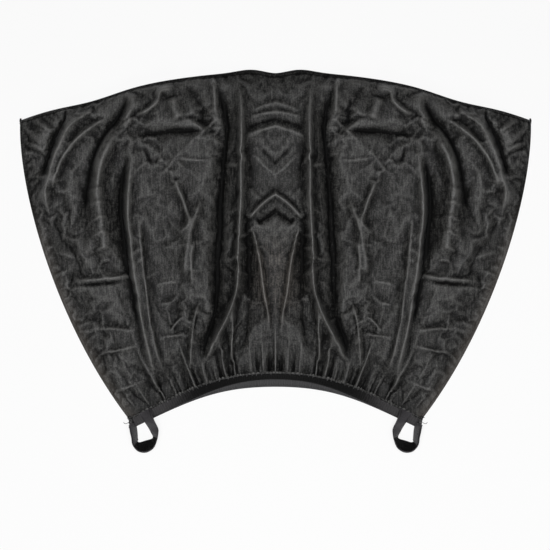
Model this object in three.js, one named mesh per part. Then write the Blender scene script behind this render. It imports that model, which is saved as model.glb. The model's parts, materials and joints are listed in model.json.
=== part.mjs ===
// Slip-on sunshade for a car's side window, lying flat as it comes to rest.
// A front and a rear panel of stretch mesh are joined along the arched top and both sides into a
// sleeve. Its mouth is drawn in by two elastic bands, so the front panel lies in gathers and folds.
// A loop of webbing with a hook-and-loop closure hangs from each corner of the mouth.
// Millimetres, +Z up. X runs across the window, +Y towards the closed top edge.
import * as THREE from 'three';

// Panel outline, seen flat from above
const TOP_HALF_WIDTH = 408;
const TOP_HEIGHT = 489;
const TOP_SAG = 78;
const SIDE_TOP_PULL = [4, -111];
const SIDE_MOUTH_PULL = [118, 152];
const MOUTH_HALF_WIDTH = 232;
const MOUTH_DROP = 69;
const FRONT_MOUTH_HEIGHT = 6.4;
const REAR_MOUTH_HEIGHT = -2.8;
const MOUTH_CENTRE_PULL = 95;
const MOUTH_CORNER_PULL = [-92, 44];

// Slack of the top edge: where along the half width it stands off its arch, how wide and how far
const TOP_EDGE_WAVES = [
  { at: 0, spread: 0.06, height: -3 },
  { at: 0.1, spread: 0.07, height: 4 },
  { at: 0.72, spread: 0.14, height: -7 },
];

// Cloth, seams and elastic
const CLOTH = 0.8;
const CLEARANCE = 0.3;
const SEAM_WIDTH = 6;
const SEAM_THICKNESS = 1.2;
const BAND_WIDTH = 16;
const BAND_THICKNESS = 1.2;
const LAP = 4;
const LAP_STEP = 8;

// Lie of the front panel over the rear one
const PUFF = 15;
const SIDE_RISE = 38;
const TOP_RISE = 34;
const EDGE_HOLD = 12;
const MOUTH_GAPE = 14;
const GAPE_SHARE = 0.8;
const MOUTH_TILT = THREE.MathUtils.degToRad(45);
const MOUTH_REACH = 80;

// Gathers that the elastic draws into the hem
const GATHERS = 22;
const GATHER_DEPTH = 2.6;
const GATHER_REACH = 55;
const GATHER_ROOT = 7;
const GATHER_VARIATION = 0.35;

// Webbing loops and their closure
const STRAP_WIDTH = 22.5;
const STRAP_THICKNESS = 1.2;
const PATCH_THICKNESS = 1;
const PATCH_MARGIN = 1.2;
const LOOP_SPREAD = 46;
const LOOP_DROP = 47;

// How finely the cloth is faceted
const FACETS_PER_GATHER = 4;
const FRONT_COLUMNS = GATHERS * FACETS_PER_GATHER;
const FRONT_ROWS = 24;
const FRONT_ROW_GRADING = 1.25;
const REAR_COLUMNS = 36;
const REAR_ROWS = 6;
const REAR_ROW_GRADING = 1.4;
const SIDE_SEAM_STEPS = 16;
const FOLD_STEPS = 24;
const FOLD_TAPER = 0.22;

// Colours
const MESH_BLACK = 0x2b2a2a;
const MESH_BLACK_REAR = 0x232222;
const ELASTIC_BLACK = 0x1b1b1c;
const ELASTIC_GREY = 0x333335;
const THREAD_BLACK = 0x1e1d1d;
const WEBBING_GREY = 0x3d3b3d;
const VELOUR_BLACK = 0x0e0d0d;
const HOOK_BLACK = 0x201c1b;

// Folds of the front panel. A point gives the share of the way from the centre line to the side
// edge, and from the mouth to the top edge. Height is above the lie of the cloth, and a negative
// one is a valley. Inner and outer are the widths of the flanks towards and away from the centre.
const FOLDS = [
  // corner of the sleeve
  { height: 4, inner: 14, outer: 12, points: [[0.892, 0.955], [0.933, 0.913], [0.965, 0.859]] },
  { height: -7, inner: 8, outer: 9,
    points: [[0.814, 0.979], [0.838, 0.925], [0.873, 0.873], [0.904, 0.809], [0.931, 0.745]] },
  { height: 8, inner: 8, outer: 9,
    points: [[0.728, 0.943], [0.796, 0.909], [0.832, 0.857], [0.87, 0.802], [0.9, 0.745],
      [0.927, 0.693]] },
  { height: 6, inner: 9, outer: 8,
    points: [[0.658, 0.907], [0.703, 0.889], [0.764, 0.857], [0.799, 0.826], [0.846, 0.78],
      [0.904, 0.691]] },
  // outer third, from the top edge down to the mouth
  { height: -8, inner: 10, outer: 10,
    points: [[0.563, 0.963], [0.603, 0.906], [0.653, 0.861], [0.694, 0.813], [0.734, 0.751],
      [0.764, 0.681], [0.793, 0.604]] },
  { height: 9, inner: 9, outer: 14,
    points: [[0.597, 0.864], [0.646, 0.812], [0.683, 0.768], [0.715, 0.699], [0.728, 0.625],
      [0.744, 0.532], [0.764, 0.426]] },
  { height: -7, inner: 9, outer: 9,
    points: [[0.583, 0.762], [0.614, 0.691], [0.64, 0.608], [0.662, 0.5], [0.681, 0.404],
      [0.701, 0.314], [0.722, 0.236]] },
  { height: 9, inner: 8, outer: 8,
    points: [[0.556, 0.787], [0.586, 0.685], [0.619, 0.571], [0.631, 0.485], [0.659, 0.355],
      [0.69, 0.227], [0.737, 0.101], [0.8, 0.025]] },
  { height: 4, inner: 7, outer: 7, points: [[0.573, 0.578], [0.591, 0.452], [0.62, 0.332], [0.658, 0.2]] },
  // creases that run in from the side edge
  { height: 3, inner: 8, outer: 8, points: [[0.935, 0.425], [0.841, 0.409], [0.749, 0.398], [0.68, 0.394]] },
  { height: 3, inner: 8, outer: 8, points: [[0.983, 0.527], [0.917, 0.497], [0.864, 0.471]] },
  { height: 3, inner: 8, outer: 8, points: [[0.923, 0.276], [0.832, 0.259], [0.738, 0.236]] },
  { height: 3, inner: 8, outer: 8, points: [[0.943, 0.207], [0.853, 0.198], [0.732, 0.191]] },
  // upper middle
  { height: 5, inner: 7, outer: 7,
    points: [[0.386, 0.964], [0.441, 0.954], [0.453, 0.919], [0.493, 0.892], [0.541, 0.883]] },
  { height: -4, inner: 12, outer: 12, points: [[0.545, 0.813], [0.457, 0.809], [0.377, 0.808], [0.278, 0.8]] },
  { height: 5, inner: 8, outer: 10,
    points: [[0.299, 0.596], [0.328, 0.533], [0.365, 0.472], [0.406, 0.39], [0.419, 0.328]] },
  { height: 4, inner: 8, outer: 8, points: [[0.407, 0.653], [0.375, 0.569], [0.367, 0.507], [0.419, 0.474]] },
  // the deep valley beside the centre and the long ridge along it
  { height: 5, inner: 7, outer: 8, points: [[0.245, 0.979], [0.232, 0.911], [0.225, 0.842]] },
  { height: -9, inner: 9, outer: 10,
    points: [[0.241, 0.985], [0.213, 0.92], [0.194, 0.823], [0.209, 0.69], [0.224, 0.576],
      [0.241, 0.447], [0.273, 0.304], [0.316, 0.211], [0.395, 0.139], [0.513, 0.032]] },
  { height: 9, inner: 10, outer: 8,
    points: [[0.151, 0.985], [0.138, 0.912], [0.135, 0.818], [0.137, 0.685], [0.137, 0.561],
      [0.154, 0.425], [0.18, 0.294], [0.24, 0.211], [0.326, 0.144], [0.404, 0.094], [0.468, 0.034]] },
  { height: 4, inner: 6, outer: 6, points: [[0.215, 0.231], [0.234, 0.138], [0.265, 0.052]] },
  { height: 5, inner: 7, outer: 7, points: [[0.363, 0.274], [0.416, 0.213], [0.464, 0.149], [0.544, 0.047]] },
  { height: 4, inner: 6, outer: 6, points: [[0.464, 0.232], [0.518, 0.215], [0.574, 0.196]] },
  { height: 3, inner: 7, outer: 7, points: [[0.656, 0.194], [0.571, 0.183], [0.482, 0.171]] },
  { height: 3, inner: 7, outer: 7, points: [[0.56, 0.342], [0.506, 0.34], [0.448, 0.332]] },
  // centre panel with its tent-shaped flap
  { height: -5, inner: 9, outer: 8,
    points: [[0.117, 0.553], [0.119, 0.407], [0.124, 0.277], [0.146, 0.164], [0.182, 0.078]] },
  { height: 6, inner: 7, outer: 7, points: [[0, 0.592], [0.046, 0.561], [0.08, 0.531], [0.114, 0.501]] },
  { height: 6, inner: 7, outer: 7,
    points: [[0.106, 0.498], [0.087, 0.439], [0.068, 0.368], [0.053, 0.274], [0.036, 0.202],
      [0.025, 0.119]] },
  { height: 3, inner: 7, outer: 7, points: [[0, 0.869], [0.06, 0.85], [0.103, 0.83]] },
  { height: 3, inner: 7, outer: 7, points: [[0, 0.822], [0.068, 0.792], [0.127, 0.764]] },
];

// Course of a webbing loop from the front of the mouth's corner round to its rear. Foot is a point of
// the tape's lower edge, from the corner, in shares of the loop's spread and drop. Lean is the way
// across the tape to its raised edge as seen from above, in shares of the tape's width. The tape
// doesn't stretch, so its rise follows from its lean.
const LOOP_ON_BAND = [
  { foot: [-0.272, 0.238], lean: [-0.898, 0.44] },
  { foot: [-0.4, 0.096], lean: [-0.8, 0.276] },
  { foot: [-0.515, -0.06], lean: [-0.74, 0.16] },
];
const LOOP_LEG = [
  { foot: [-0.615, -0.243], lean: [-0.74, 0.031] },
  { foot: [-0.702, -0.404], lean: [-0.58, 0.018] },
  { foot: [-0.776, -0.553], lean: [-0.36, -0.08] },
];
const LOOP_END = [
  { foot: [-0.713, -0.613], lean: [-0.24, -0.53] },
  { foot: [-0.53, -0.664], lean: [-0.107, -0.75] },
  { foot: [-0.34, -0.705], lean: [-0.02, -0.54] },
];
const LOOP_RETURN = [
  { foot: [-0.276, -0.64], lean: [0.18, -0.222] },
  { foot: [-0.261, -0.489], lean: [0.231, -0.071] },
  { foot: [-0.248, -0.336], lean: [0.293, -0.009] },
  { foot: [-0.213, -0.232], lean: [0.302, 0.013] },
];
const STEPS_PER_STATION = 3;

const smooth = (x) => THREE.MathUtils.smoothstep(x, 0, 1);
const lerp = THREE.MathUtils.lerp;

// Levels in the stack, from the floor up
const FRONT_EDGE_LEVEL = CLOTH + 2 * CLEARANCE + Math.max(SEAM_THICKNESS, BAND_THICKNESS);
const REAR_LAP_LEVEL = BAND_THICKNESS + CLEARANCE;
const FRONT_BAND_LEVEL = FRONT_EDGE_LEVEL + CLOTH + CLEARANCE;

// Edges of the half panel on the +X side: the mouth from the centre line to its corner, the top edge
// the same way, and the side edge from the mouth's corner to the top corner.
const mouthCorner = new THREE.Vector2(MOUTH_HALF_WIDTH, -MOUTH_DROP);
const topCorner = new THREE.Vector2(TOP_HALF_WIDTH, TOP_HEIGHT - TOP_SAG);

function mouthCurve(height) {
  return new THREE.CubicBezierCurve(
    new THREE.Vector2(0, height),
    new THREE.Vector2(MOUTH_CENTRE_PULL, height),
    mouthCorner.clone().add(new THREE.Vector2(...MOUTH_CORNER_PULL)),
    mouthCorner,
  );
}

const frontMouth = mouthCurve(FRONT_MOUTH_HEIGHT);
const rearMouth = mouthCurve(REAR_MOUTH_HEIGHT);
const sideEdge = new THREE.CubicBezierCurve(
  mouthCorner,
  mouthCorner.clone().add(new THREE.Vector2(...SIDE_MOUTH_PULL)),
  topCorner.clone().add(new THREE.Vector2(...SIDE_TOP_PULL)),
  topCorner,
);

function topEdge(s) {
  let y = TOP_HEIGHT - TOP_SAG * s * s;
  for (const wave of TOP_EDGE_WAVES) {
    y += wave.height * Math.exp(-(((s - wave.at) / wave.spread) ** 2));
  }
  return new THREE.Vector2(TOP_HALF_WIDTH * s, y);
}

// Coons patch between the four edges. s runs from the centre line (0) to the side edge (1) and is
// negative on the -X half, and t runs from the mouth (0) to the top edge (1).
function panelPoint(mouth, s, t) {
  const a = Math.abs(s);
  const centreTop = topEdge(0);
  const centreMouth = mouth.getPoint(0);
  const across = mouth.getPoint(a).multiplyScalar(1 - t).addScaledVector(topEdge(a), t);
  const centre = centreMouth.clone().lerp(centreTop, t);
  const along = centre.multiplyScalar(1 - a).addScaledVector(sideEdge.getPoint(t), a);
  const corners = centreMouth.clone().lerp(centreTop, t).multiplyScalar(1 - a);
  corners.addScaledVector(mouthCorner, a * (1 - t)).addScaledVector(topEdge(1), a * t);
  const point = across.add(along).sub(corners);
  return new THREE.Vector2(Math.sign(s) * point.x, point.y);
}

// Outward direction of the mouth in the plane of the floor
function mouthOutward(mouth, s) {
  const tangent = mouth.getTangent(Math.abs(s));
  return new THREE.Vector2(Math.sign(s) * tangent.y, -Math.abs(tangent.x));
}

// A fold's course as a smooth line in the plane of the floor, on the +X half
function foldCourse(fold) {
  const places = fold.points.map(([s, t]) => {
    const place = panelPoint(frontMouth, Math.max(s, Number.EPSILON), t);
    return new THREE.Vector3(place.x, place.y, 0);
  });
  return new THREE.CatmullRomCurve3(places).getSpacedPoints(FOLD_STEPS);
}

const folds = FOLDS.map((fold) => ({ ...fold, course: foldCourse(fold) }));

// Height that one fold adds at a place: full along its course, tapered at both ends, with rounded
// flanks on either side
function foldHeight(fold, place) {
  let nearest = Infinity;
  let share = 0;
  let side = 0;
  for (let i = 0; i < FOLD_STEPS; i += 1) {
    const a = fold.course[i];
    const b = fold.course[i + 1];
    const dx = b.x - a.x;
    const dy = b.y - a.y;
    const lengthSquared = dx * dx + dy * dy;
    const along = ((place.x - a.x) * dx + (place.y - a.y) * dy) / lengthSquared;
    const k = THREE.MathUtils.clamp(along, 0, 1);
    const distance = Math.hypot(place.x - a.x - k * dx, place.y - a.y - k * dy);
    if (distance < nearest) {
      nearest = distance;
      share = (i + k) / FOLD_STEPS;
      side = a.x + k * dx - place.x;
    }
  }
  const flank = side > 0 ? fold.inner : fold.outer;
  const taper = smooth(share / FOLD_TAPER) * smooth((1 - share) / FOLD_TAPER);
  return fold.height * taper * Math.exp(-((nearest / flank) ** 2));
}

// How far the middle of the mouth stands open, from 1 at the centre line to 0 near the corners
function gapeShare(s) {
  const k = Math.min(Math.abs(s) / GAPE_SHARE, 1);
  return (1 - k * k) ** 2;
}

// Crests and valleys of the gathers, alike on both halves and uneven in height
function gather(s, distance) {
  const phase = Math.PI * GATHERS * Math.abs(s);
  const uneven = 1 + GATHER_VARIATION * Math.sin(phase * Math.SQRT2);
  const fade = (1 - Math.exp(-distance / GATHER_ROOT)) * Math.exp(-distance / GATHER_REACH);
  return GATHER_DEPTH * uneven * Math.cos(phase) * fade;
}

// Underside of the front panel
function frontLevel(s, t) {
  const place = panelPoint(frontMouth, s, t);
  const toSide = (1 - Math.abs(s)) * sideEdge.getPoint(t).x;
  const toTop = (1 - t) * TOP_HEIGHT;
  const toMouth = Math.max(t * TOP_HEIGHT - LAP, 0);
  const puff = PUFF * (1 - Math.exp(-toSide / SIDE_RISE)) * (1 - Math.exp(-toTop / TOP_RISE));
  const slope = Math.tan(MOUTH_TILT * gapeShare(s)) * Math.min(t * TOP_HEIGHT, LAP);
  const hem = MOUTH_GAPE * gapeShare(s) + slope;
  const lie = lerp(hem, puff, smooth(toMouth / MOUTH_REACH));
  let relief = gather(s, toMouth);
  const mirrored = new THREE.Vector2(Math.abs(place.x), place.y);
  for (const fold of folds) {
    relief += foldHeight(fold, mirrored) * (1 - Math.exp(-((toMouth / GATHER_ROOT) ** 2)));
  }
  const held = (1 - Math.exp(-((toSide / EDGE_HOLD) ** 2))) * (1 - Math.exp(-((toTop / EDGE_HOLD) ** 2)));
  return FRONT_EDGE_LEVEL + Math.max(lie + relief * held, 0);
}

// Closed solid between two grids of points over the same columns and rows. Columns run towards +X
// and rows away from the mouth, so that every face points out.
function slab(columns, rows, upper, lower) {
  const positions = [];
  const triangles = [];
  for (const side of [upper, lower]) {
    for (let j = 0; j <= rows; j += 1) {
      for (let i = 0; i <= columns; i += 1) {
        positions.push(...side(i, j));
      }
    }
  }
  const perSide = (columns + 1) * (rows + 1);
  const top = (i, j) => j * (columns + 1) + i;
  const bottom = (i, j) => perSide + top(i, j);
  const quad = (a, b, c, d) => triangles.push(a, b, c, a, c, d);
  for (let j = 0; j < rows; j += 1) {
    for (let i = 0; i < columns; i += 1) {
      quad(top(i, j), top(i + 1, j), top(i + 1, j + 1), top(i, j + 1));
      quad(bottom(i, j), bottom(i, j + 1), bottom(i + 1, j + 1), bottom(i + 1, j));
    }
    quad(bottom(0, j + 1), bottom(0, j), top(0, j), top(0, j + 1));
    quad(bottom(columns, j), bottom(columns, j + 1), top(columns, j + 1), top(columns, j));
  }
  for (let i = 0; i < columns; i += 1) {
    quad(bottom(i, 0), bottom(i + 1, 0), top(i + 1, 0), top(i, 0));
    quad(bottom(i + 1, rows), bottom(i, rows), top(i, rows), top(i + 1, rows));
  }
  const geometry = new THREE.BufferGeometry();
  geometry.setAttribute('position', new THREE.Float32BufferAttribute(positions, 3));
  geometry.setIndex(triangles);
  geometry.computeVertexNormals();
  return geometry;
}

// Rows from the mouth to the top edge: the lap under or over the band, a step, then graded rows
function clothRows(count, grading) {
  const first = (LAP + LAP_STEP) / TOP_HEIGHT;
  const rows = [0, LAP / TOP_HEIGHT];
  for (let j = 0; j <= count; j += 1) {
    rows.push(lerp(first, 1, (j / count) ** grading));
  }
  return rows;
}

function frontPanel() {
  const columns = FRONT_COLUMNS;
  const rows = clothRows(FRONT_ROWS, FRONT_ROW_GRADING);
  const grid = rows.map((t) => {
    const line = [];
    for (let i = 0; i <= columns; i += 1) {
      const s = (2 * i) / columns - 1;
      const place = panelPoint(frontMouth, s, t);
      line.push([place.x, place.y, frontLevel(s, t)]);
    }
    return line;
  });
  const lower = (i, j) => grid[j][i];
  const upper = (i, j) => [grid[j][i][0], grid[j][i][1], grid[j][i][2] + CLOTH];
  return slab(columns, rows.length - 1, upper, lower);
}

// The rear panel lies on the floor and steps up over its band at the mouth
function rearPanel() {
  const rows = clothRows(REAR_ROWS, REAR_ROW_GRADING);
  const place = (i, j, level) => {
    const point = panelPoint(rearMouth, (2 * i) / REAR_COLUMNS - 1, rows[j]);
    return [point.x, point.y, level + (j < 2 ? REAR_LAP_LEVEL : 0)];
  };
  return slab(REAR_COLUMNS, rows.length - 1, (i, j) => place(i, j, CLOTH), (i, j) => place(i, j, 0));
}

// An elastic band along the mouth. It laps the panel's hem and turns down with the tilt.
function elasticBand(mouth, columns, level, gape) {
  const place = (i, j, height) => {
    const s = (2 * i) / columns - 1;
    const tilt = MOUTH_TILT * gape * gapeShare(s);
    const reach = j === 0 ? BAND_WIDTH - LAP : -LAP;
    const start = mouth.getPoint(Math.abs(s));
    const outward = mouthOutward(mouth, s);
    const x = Math.sign(s) * start.x + outward.x * reach * Math.cos(tilt);
    const y = start.y + outward.y * reach * Math.cos(tilt);
    return [x, y, level + MOUTH_GAPE * gape * gapeShare(s) - reach * Math.sin(tilt) + height];
  };
  return slab(columns, 1, (i, j) => place(i, j, BAND_THICKNESS), (i, j) => place(i, j, 0));
}

// The overlocked seam allowance between the panels, along the top edge
function topSeam() {
  const columns = REAR_COLUMNS;
  const place = (i, j, height) => {
    const s = (2 * i) / columns - 1;
    const edge = topEdge(Math.abs(s));
    const ahead = topEdge(Math.min(Math.abs(s) + 1 / columns, 1));
    const behind = topEdge(Math.max(Math.abs(s) - 1 / columns, 0));
    const tangent = ahead.sub(behind).normalize();
    const depth = j === 0 ? SEAM_WIDTH : 0;
    const x = edge.x + tangent.y * depth;
    return [Math.sign(s) * x, edge.y - tangent.x * depth, CLOTH + CLEARANCE + height];
  };
  return slab(columns, 1, (i, j) => place(i, j, SEAM_THICKNESS), (i, j) => place(i, j, 0));
}

// The same allowance along one side edge, between the top seam and the hem's lap
function sideSeam(side) {
  const length = sideEdge.getLength();
  const from = (LAP + LAP_STEP + SEAM_WIDTH) / length;
  const to = 1 - (SEAM_WIDTH + CLEARANCE) / length;
  const place = (i, j, height) => {
    const t = lerp(from, to, j / SIDE_SEAM_STEPS);
    const edge = sideEdge.getPointAt(t);
    const tangent = sideEdge.getTangentAt(t);
    const outermost = side > 0 ? i === 1 : i === 0;
    const depth = outermost ? 0 : SEAM_WIDTH;
    const x = edge.x - tangent.y * depth;
    const y = edge.y + tangent.x * depth;
    return [side * x, y, CLOTH + CLEARANCE + height];
  };
  return slab(1, SIDE_SEAM_STEPS, (i, j) => place(i, j, SEAM_THICKNESS), (i, j) => place(i, j, 0));
}

// Stations of a webbing loop in the frame of the part, on the +X half, on smooth lines through both
// edges of the tape. Back points away from the loop's eye, or down where the tape lies on the band.
function loopStations() {
  const onBand = FRONT_BAND_LEVEL + BAND_THICKNESS + CLEARANCE + STRAP_THICKNESS;
  const course = [...LOOP_ON_BAND, ...LOOP_LEG, ...LOOP_END, ...LOOP_RETURN];
  const feet = course.map(({ foot: [x, y] }, i) => {
    const level = i < LOOP_ON_BAND.length ? onBand : 0;
    return new THREE.Vector3(mouthCorner.x + x * LOOP_SPREAD, mouthCorner.y + y * LOOP_DROP, level);
  });
  const lips = course.map(({ lean: [x, y] }, i) => {
    const rise = Math.sqrt(Math.max(1 - x * x - y * y, 0));
    return feet[i].clone().addScaledVector(new THREE.Vector3(x, y, rise), STRAP_WIDTH);
  });
  const footLine = new THREE.CatmullRomCurve3(feet);
  const lipLine = new THREE.CatmullRomCurve3(lips);
  const steps = (course.length - 1) * STEPS_PER_STATION;
  return Array.from({ length: steps + 1 }, (_, k) => {
    const share = k / steps;
    const place = k / STEPS_PER_STATION;
    const foot = footLine.getPoint(share);
    const lip = lipLine.getPoint(share);
    foot.z = Math.max(foot.z, 0);
    const run = footLine.getTangent(share).add(lipLine.getTangent(share));
    const level = new THREE.Vector3(run.y, -run.x, 0).normalize();
    const upright = smooth(place - LOOP_ON_BAND.length + 1);
    const back = new THREE.Vector3(0, 0, -1).lerp(level, upright).normalize();
    return { foot, lip, back, place };
  });
}

const stations = loopStations();
const LOOP_BEND = LOOP_ON_BAND.length + LOOP_LEG.length - 1;
const LOOP_FOLD = LOOP_BEND + LOOP_END.length;
const LOOP_LAST = LOOP_FOLD + LOOP_RETURN.length;

// A stretch of tape along the loop's stations. Depth gives how far its inner face lies behind the
// stations at each one, and margin how far it keeps from both edges.
function tape(side, first, last, thickness, margin, depth) {
  const stretch = stations.filter(({ place }) => place >= first && place <= last);
  const place = (i, j, back) => {
    const station = stretch[j];
    const width = station.lip.distanceTo(station.foot);
    const edge = (side > 0) === (i === 0) ? margin / width : 1 - margin / width;
    const point = station.foot.clone().lerp(station.lip, edge);
    point.addScaledVector(station.back, depth(station.place) + back);
    return [side * point.x, point.y, point.z];
  };
  const end = stretch.length - 1;
  return slab(1, end, (i, j) => place(i, j, 0), (i, j) => place(i, j, thickness));
}

// Behind the fold the long strap runs outside the short one, with both closure patches between
function strapDepth(place) {
  const outside = STRAP_THICKNESS + 2 * PATCH_THICKNESS + 3 * CLEARANCE;
  return outside * THREE.MathUtils.clamp(place - LOOP_FOLD + 1, 0, 1);
}

const LINING = PATCH_THICKNESS + CLEARANCE;
const material = (color, roughness) => new THREE.MeshStandardMaterial({ color, roughness, metalness: 0 });
const frontMesh = material(MESH_BLACK, 0.8);
const rearMesh = material(MESH_BLACK_REAR, 0.8);
const elastic = material(ELASTIC_BLACK, 0.75);
const rearElastic = material(ELASTIC_GREY, 0.75);
const thread = material(THREAD_BLACK, 0.85);
const webbing = material(WEBBING_GREY, 0.7);
const velour = material(VELOUR_BLACK, 0.95);
const hooks = material(HOOK_BLACK, 0.6);

const shade = new THREE.Group();

function add(name, geometry, finish) {
  const piece = new THREE.Mesh(geometry, finish);
  piece.name = name;
  shade.add(piece);
}

add('front_mesh_panel', frontPanel(), frontMesh);
add('rear_mesh_panel', rearPanel(), rearMesh);
add('front_elastic_band', elasticBand(frontMouth, FRONT_COLUMNS, FRONT_BAND_LEVEL, 1), elastic);
add('rear_elastic_band', elasticBand(rearMouth, REAR_COLUMNS, 0, 0), rearElastic);
add('top_seam', topSeam(), thread);
for (const [name, side] of [['left', -1], ['right', 1]]) {
  add(`${name}_side_seam`, sideSeam(side), thread);
  const longStrap = tape(side, 0, LOOP_LAST - 1, STRAP_THICKNESS, 0, strapDepth);
  const shortStrap = tape(side, LOOP_FOLD + 1, LOOP_LAST, STRAP_THICKNESS, 0, () => 0);
  const loopPatch = tape(side, LOOP_BEND, LOOP_LAST - 1, PATCH_THICKNESS, PATCH_MARGIN,
    (place) => strapDepth(place) - LINING);
  const hookPatch = tape(side, LOOP_FOLD + 1, LOOP_LAST - 1, PATCH_THICKNESS, PATCH_MARGIN,
    () => STRAP_THICKNESS + CLEARANCE);
  add(`${name}_long_strap`, longStrap, webbing);
  add(`${name}_loop_patch`, loopPatch, velour);
  add(`${name}_hook_patch`, hookPatch, hooks);
  add(`${name}_short_strap`, shortStrap, webbing);
}

// The origin is on the floor under the middle of the whole shade
const extent = new THREE.Box3().setFromObject(shade);
const middle = extent.getCenter(new THREE.Vector3());
for (const piece of shade.children) {
  piece.geometry.translate(-middle.x, -middle.y, -extent.min.z);
}

export default shade;
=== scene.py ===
# %% [markdown]
# # A slip-on sunshade for a car's side window
# The shade is a sleeve of black stretch mesh: two layers joined along an arched top and two curved
# sides, and gathered by elastic at the mouth. It lies flat and is seen from straight above. The
# imported solids set the panel's place and the seams' level; the cells below make the cloth, elastic and
# webbing.

# %% Load the frame
import json
import math

import bmesh
import bpy
import numpy as np
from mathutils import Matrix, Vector, noise

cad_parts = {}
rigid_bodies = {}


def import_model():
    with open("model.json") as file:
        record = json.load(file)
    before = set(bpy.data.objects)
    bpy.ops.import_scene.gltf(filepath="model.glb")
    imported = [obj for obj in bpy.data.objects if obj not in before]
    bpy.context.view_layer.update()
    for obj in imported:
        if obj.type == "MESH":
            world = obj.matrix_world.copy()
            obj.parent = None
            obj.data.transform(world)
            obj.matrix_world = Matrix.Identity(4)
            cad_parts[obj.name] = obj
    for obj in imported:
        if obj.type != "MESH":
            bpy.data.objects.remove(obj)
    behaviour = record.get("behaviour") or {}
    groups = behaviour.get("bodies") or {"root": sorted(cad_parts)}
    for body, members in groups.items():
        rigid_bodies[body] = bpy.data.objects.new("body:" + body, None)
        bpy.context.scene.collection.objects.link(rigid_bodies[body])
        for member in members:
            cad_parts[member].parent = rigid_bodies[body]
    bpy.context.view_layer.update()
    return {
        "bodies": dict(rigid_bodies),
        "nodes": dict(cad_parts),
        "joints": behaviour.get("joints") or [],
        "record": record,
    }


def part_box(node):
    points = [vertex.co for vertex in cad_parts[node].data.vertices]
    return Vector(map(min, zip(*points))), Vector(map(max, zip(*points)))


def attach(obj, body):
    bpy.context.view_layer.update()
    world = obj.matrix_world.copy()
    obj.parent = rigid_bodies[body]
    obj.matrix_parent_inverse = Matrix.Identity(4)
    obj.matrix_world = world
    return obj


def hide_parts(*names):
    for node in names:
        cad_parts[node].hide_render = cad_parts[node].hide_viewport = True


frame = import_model()
MM = 0.001

# %% [markdown]
# ## Where the camera stands
# The photograph looks straight down, and its frame is 880 mm wide at the floor. A long lens from two
# metres up keeps the raised folds from leaning outwards. The camera comes first.

# %% Camera
FRAME_WIDTH = 0.880
FRAME_CENTRE = (-0.0008, -0.0221)
LENS = 85
SENSOR = 36

camera = bpy.data.objects.new("camera", bpy.data.cameras.new("camera"))
camera.data.lens = LENS
camera.data.sensor_width = SENSOR
camera.location = (*FRAME_CENTRE, FRAME_WIDTH * LENS / SENSOR)
bpy.context.collection.objects.link(camera)
bpy.context.scene.camera = camera
print("camera height", round(camera.location.z, 3))

# %% [markdown]
# ## The panel's outline
# A pattern cutter would draw four edges: the arch of the top, two bowed sides and the hollow of the
# mouth. A Coons patch between those edges gives every thread of the cloth a place on the floor. The
# shade is symmetric, so one half is worked out and the other mirrors it: s runs from the centre line
# to the side edge and t from the mouth to the top edge.

# %% Outline of the half panel
TOP_HALF_WIDTH = 408
TOP_HEIGHT = 489
TOP_SAG = 78
SIDE_TOP_PULL = (4, -111)
SIDE_MOUTH_PULL = (118, 152)
MOUTH_CORNER = (232, -69)
FRONT_MOUTH_HEIGHT = 6.4
REAR_MOUTH_HEIGHT = -2.8
MOUTH_CENTRE_PULL = 95
MOUTH_CORNER_PULL = (-92, 44)
TOP_EDGE_WAVES = ((0, 0.06, -3), (0.1, 0.07, 4), (0.72, 0.14, -7))

mouth_corner = np.array(MOUTH_CORNER, float)
top_corner = np.array((TOP_HALF_WIDTH, TOP_HEIGHT - TOP_SAG), float)


def bezier(controls, t):
    """Points of a cubic curve for an array of parameters."""
    a, b, c, d = (np.array(p, float) for p in controls)
    t = np.asarray(t, float)[..., None]
    m = 1 - t
    return a * m**3 + 3 * b * m * m * t + 3 * c * m * t * t + d * t**3


def mouth_edge(height, s):
    controls = (0, height), (MOUTH_CENTRE_PULL, height), mouth_corner + MOUTH_CORNER_PULL, mouth_corner
    return bezier(controls, s)


def side_edge(t):
    return bezier((mouth_corner, mouth_corner + SIDE_MOUTH_PULL, top_corner + SIDE_TOP_PULL, top_corner), t)


def top_edge(s):
    s = np.asarray(s, float)
    y = TOP_HEIGHT - TOP_SAG * s * s
    for at, spread, height in TOP_EDGE_WAVES:
        y = y + height * np.exp(-(((s - at) / spread) ** 2))
    return np.stack([TOP_HALF_WIDTH * s, y], -1)


def panel_place(s, t, mouth_height=FRONT_MOUTH_HEIGHT):
    """Places on the floor, in mm, of the half panel with s from 0 to 1."""
    s, t = np.broadcast_arrays(np.asarray(s, float), np.asarray(t, float))
    a, b = s[..., None], t[..., None]
    mouth_middle = mouth_edge(mouth_height, 0.0)
    middle = mouth_middle + (top_edge(0.0) - mouth_middle) * b
    across = mouth_edge(mouth_height, s) * (1 - b) + top_edge(s) * b
    along = middle * (1 - a) + side_edge(t) * a
    corners = middle * (1 - a) + a * ((1 - b) * mouth_corner + b * top_corner)
    return across + along - corners


SHIFT_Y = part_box("rear_mesh_panel")[1].y / MM - top_edge(np.linspace(0, 1, 400))[:, 1].max()
print("shift from the pattern to the part", round(SHIFT_Y, 1), "mm")
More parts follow.
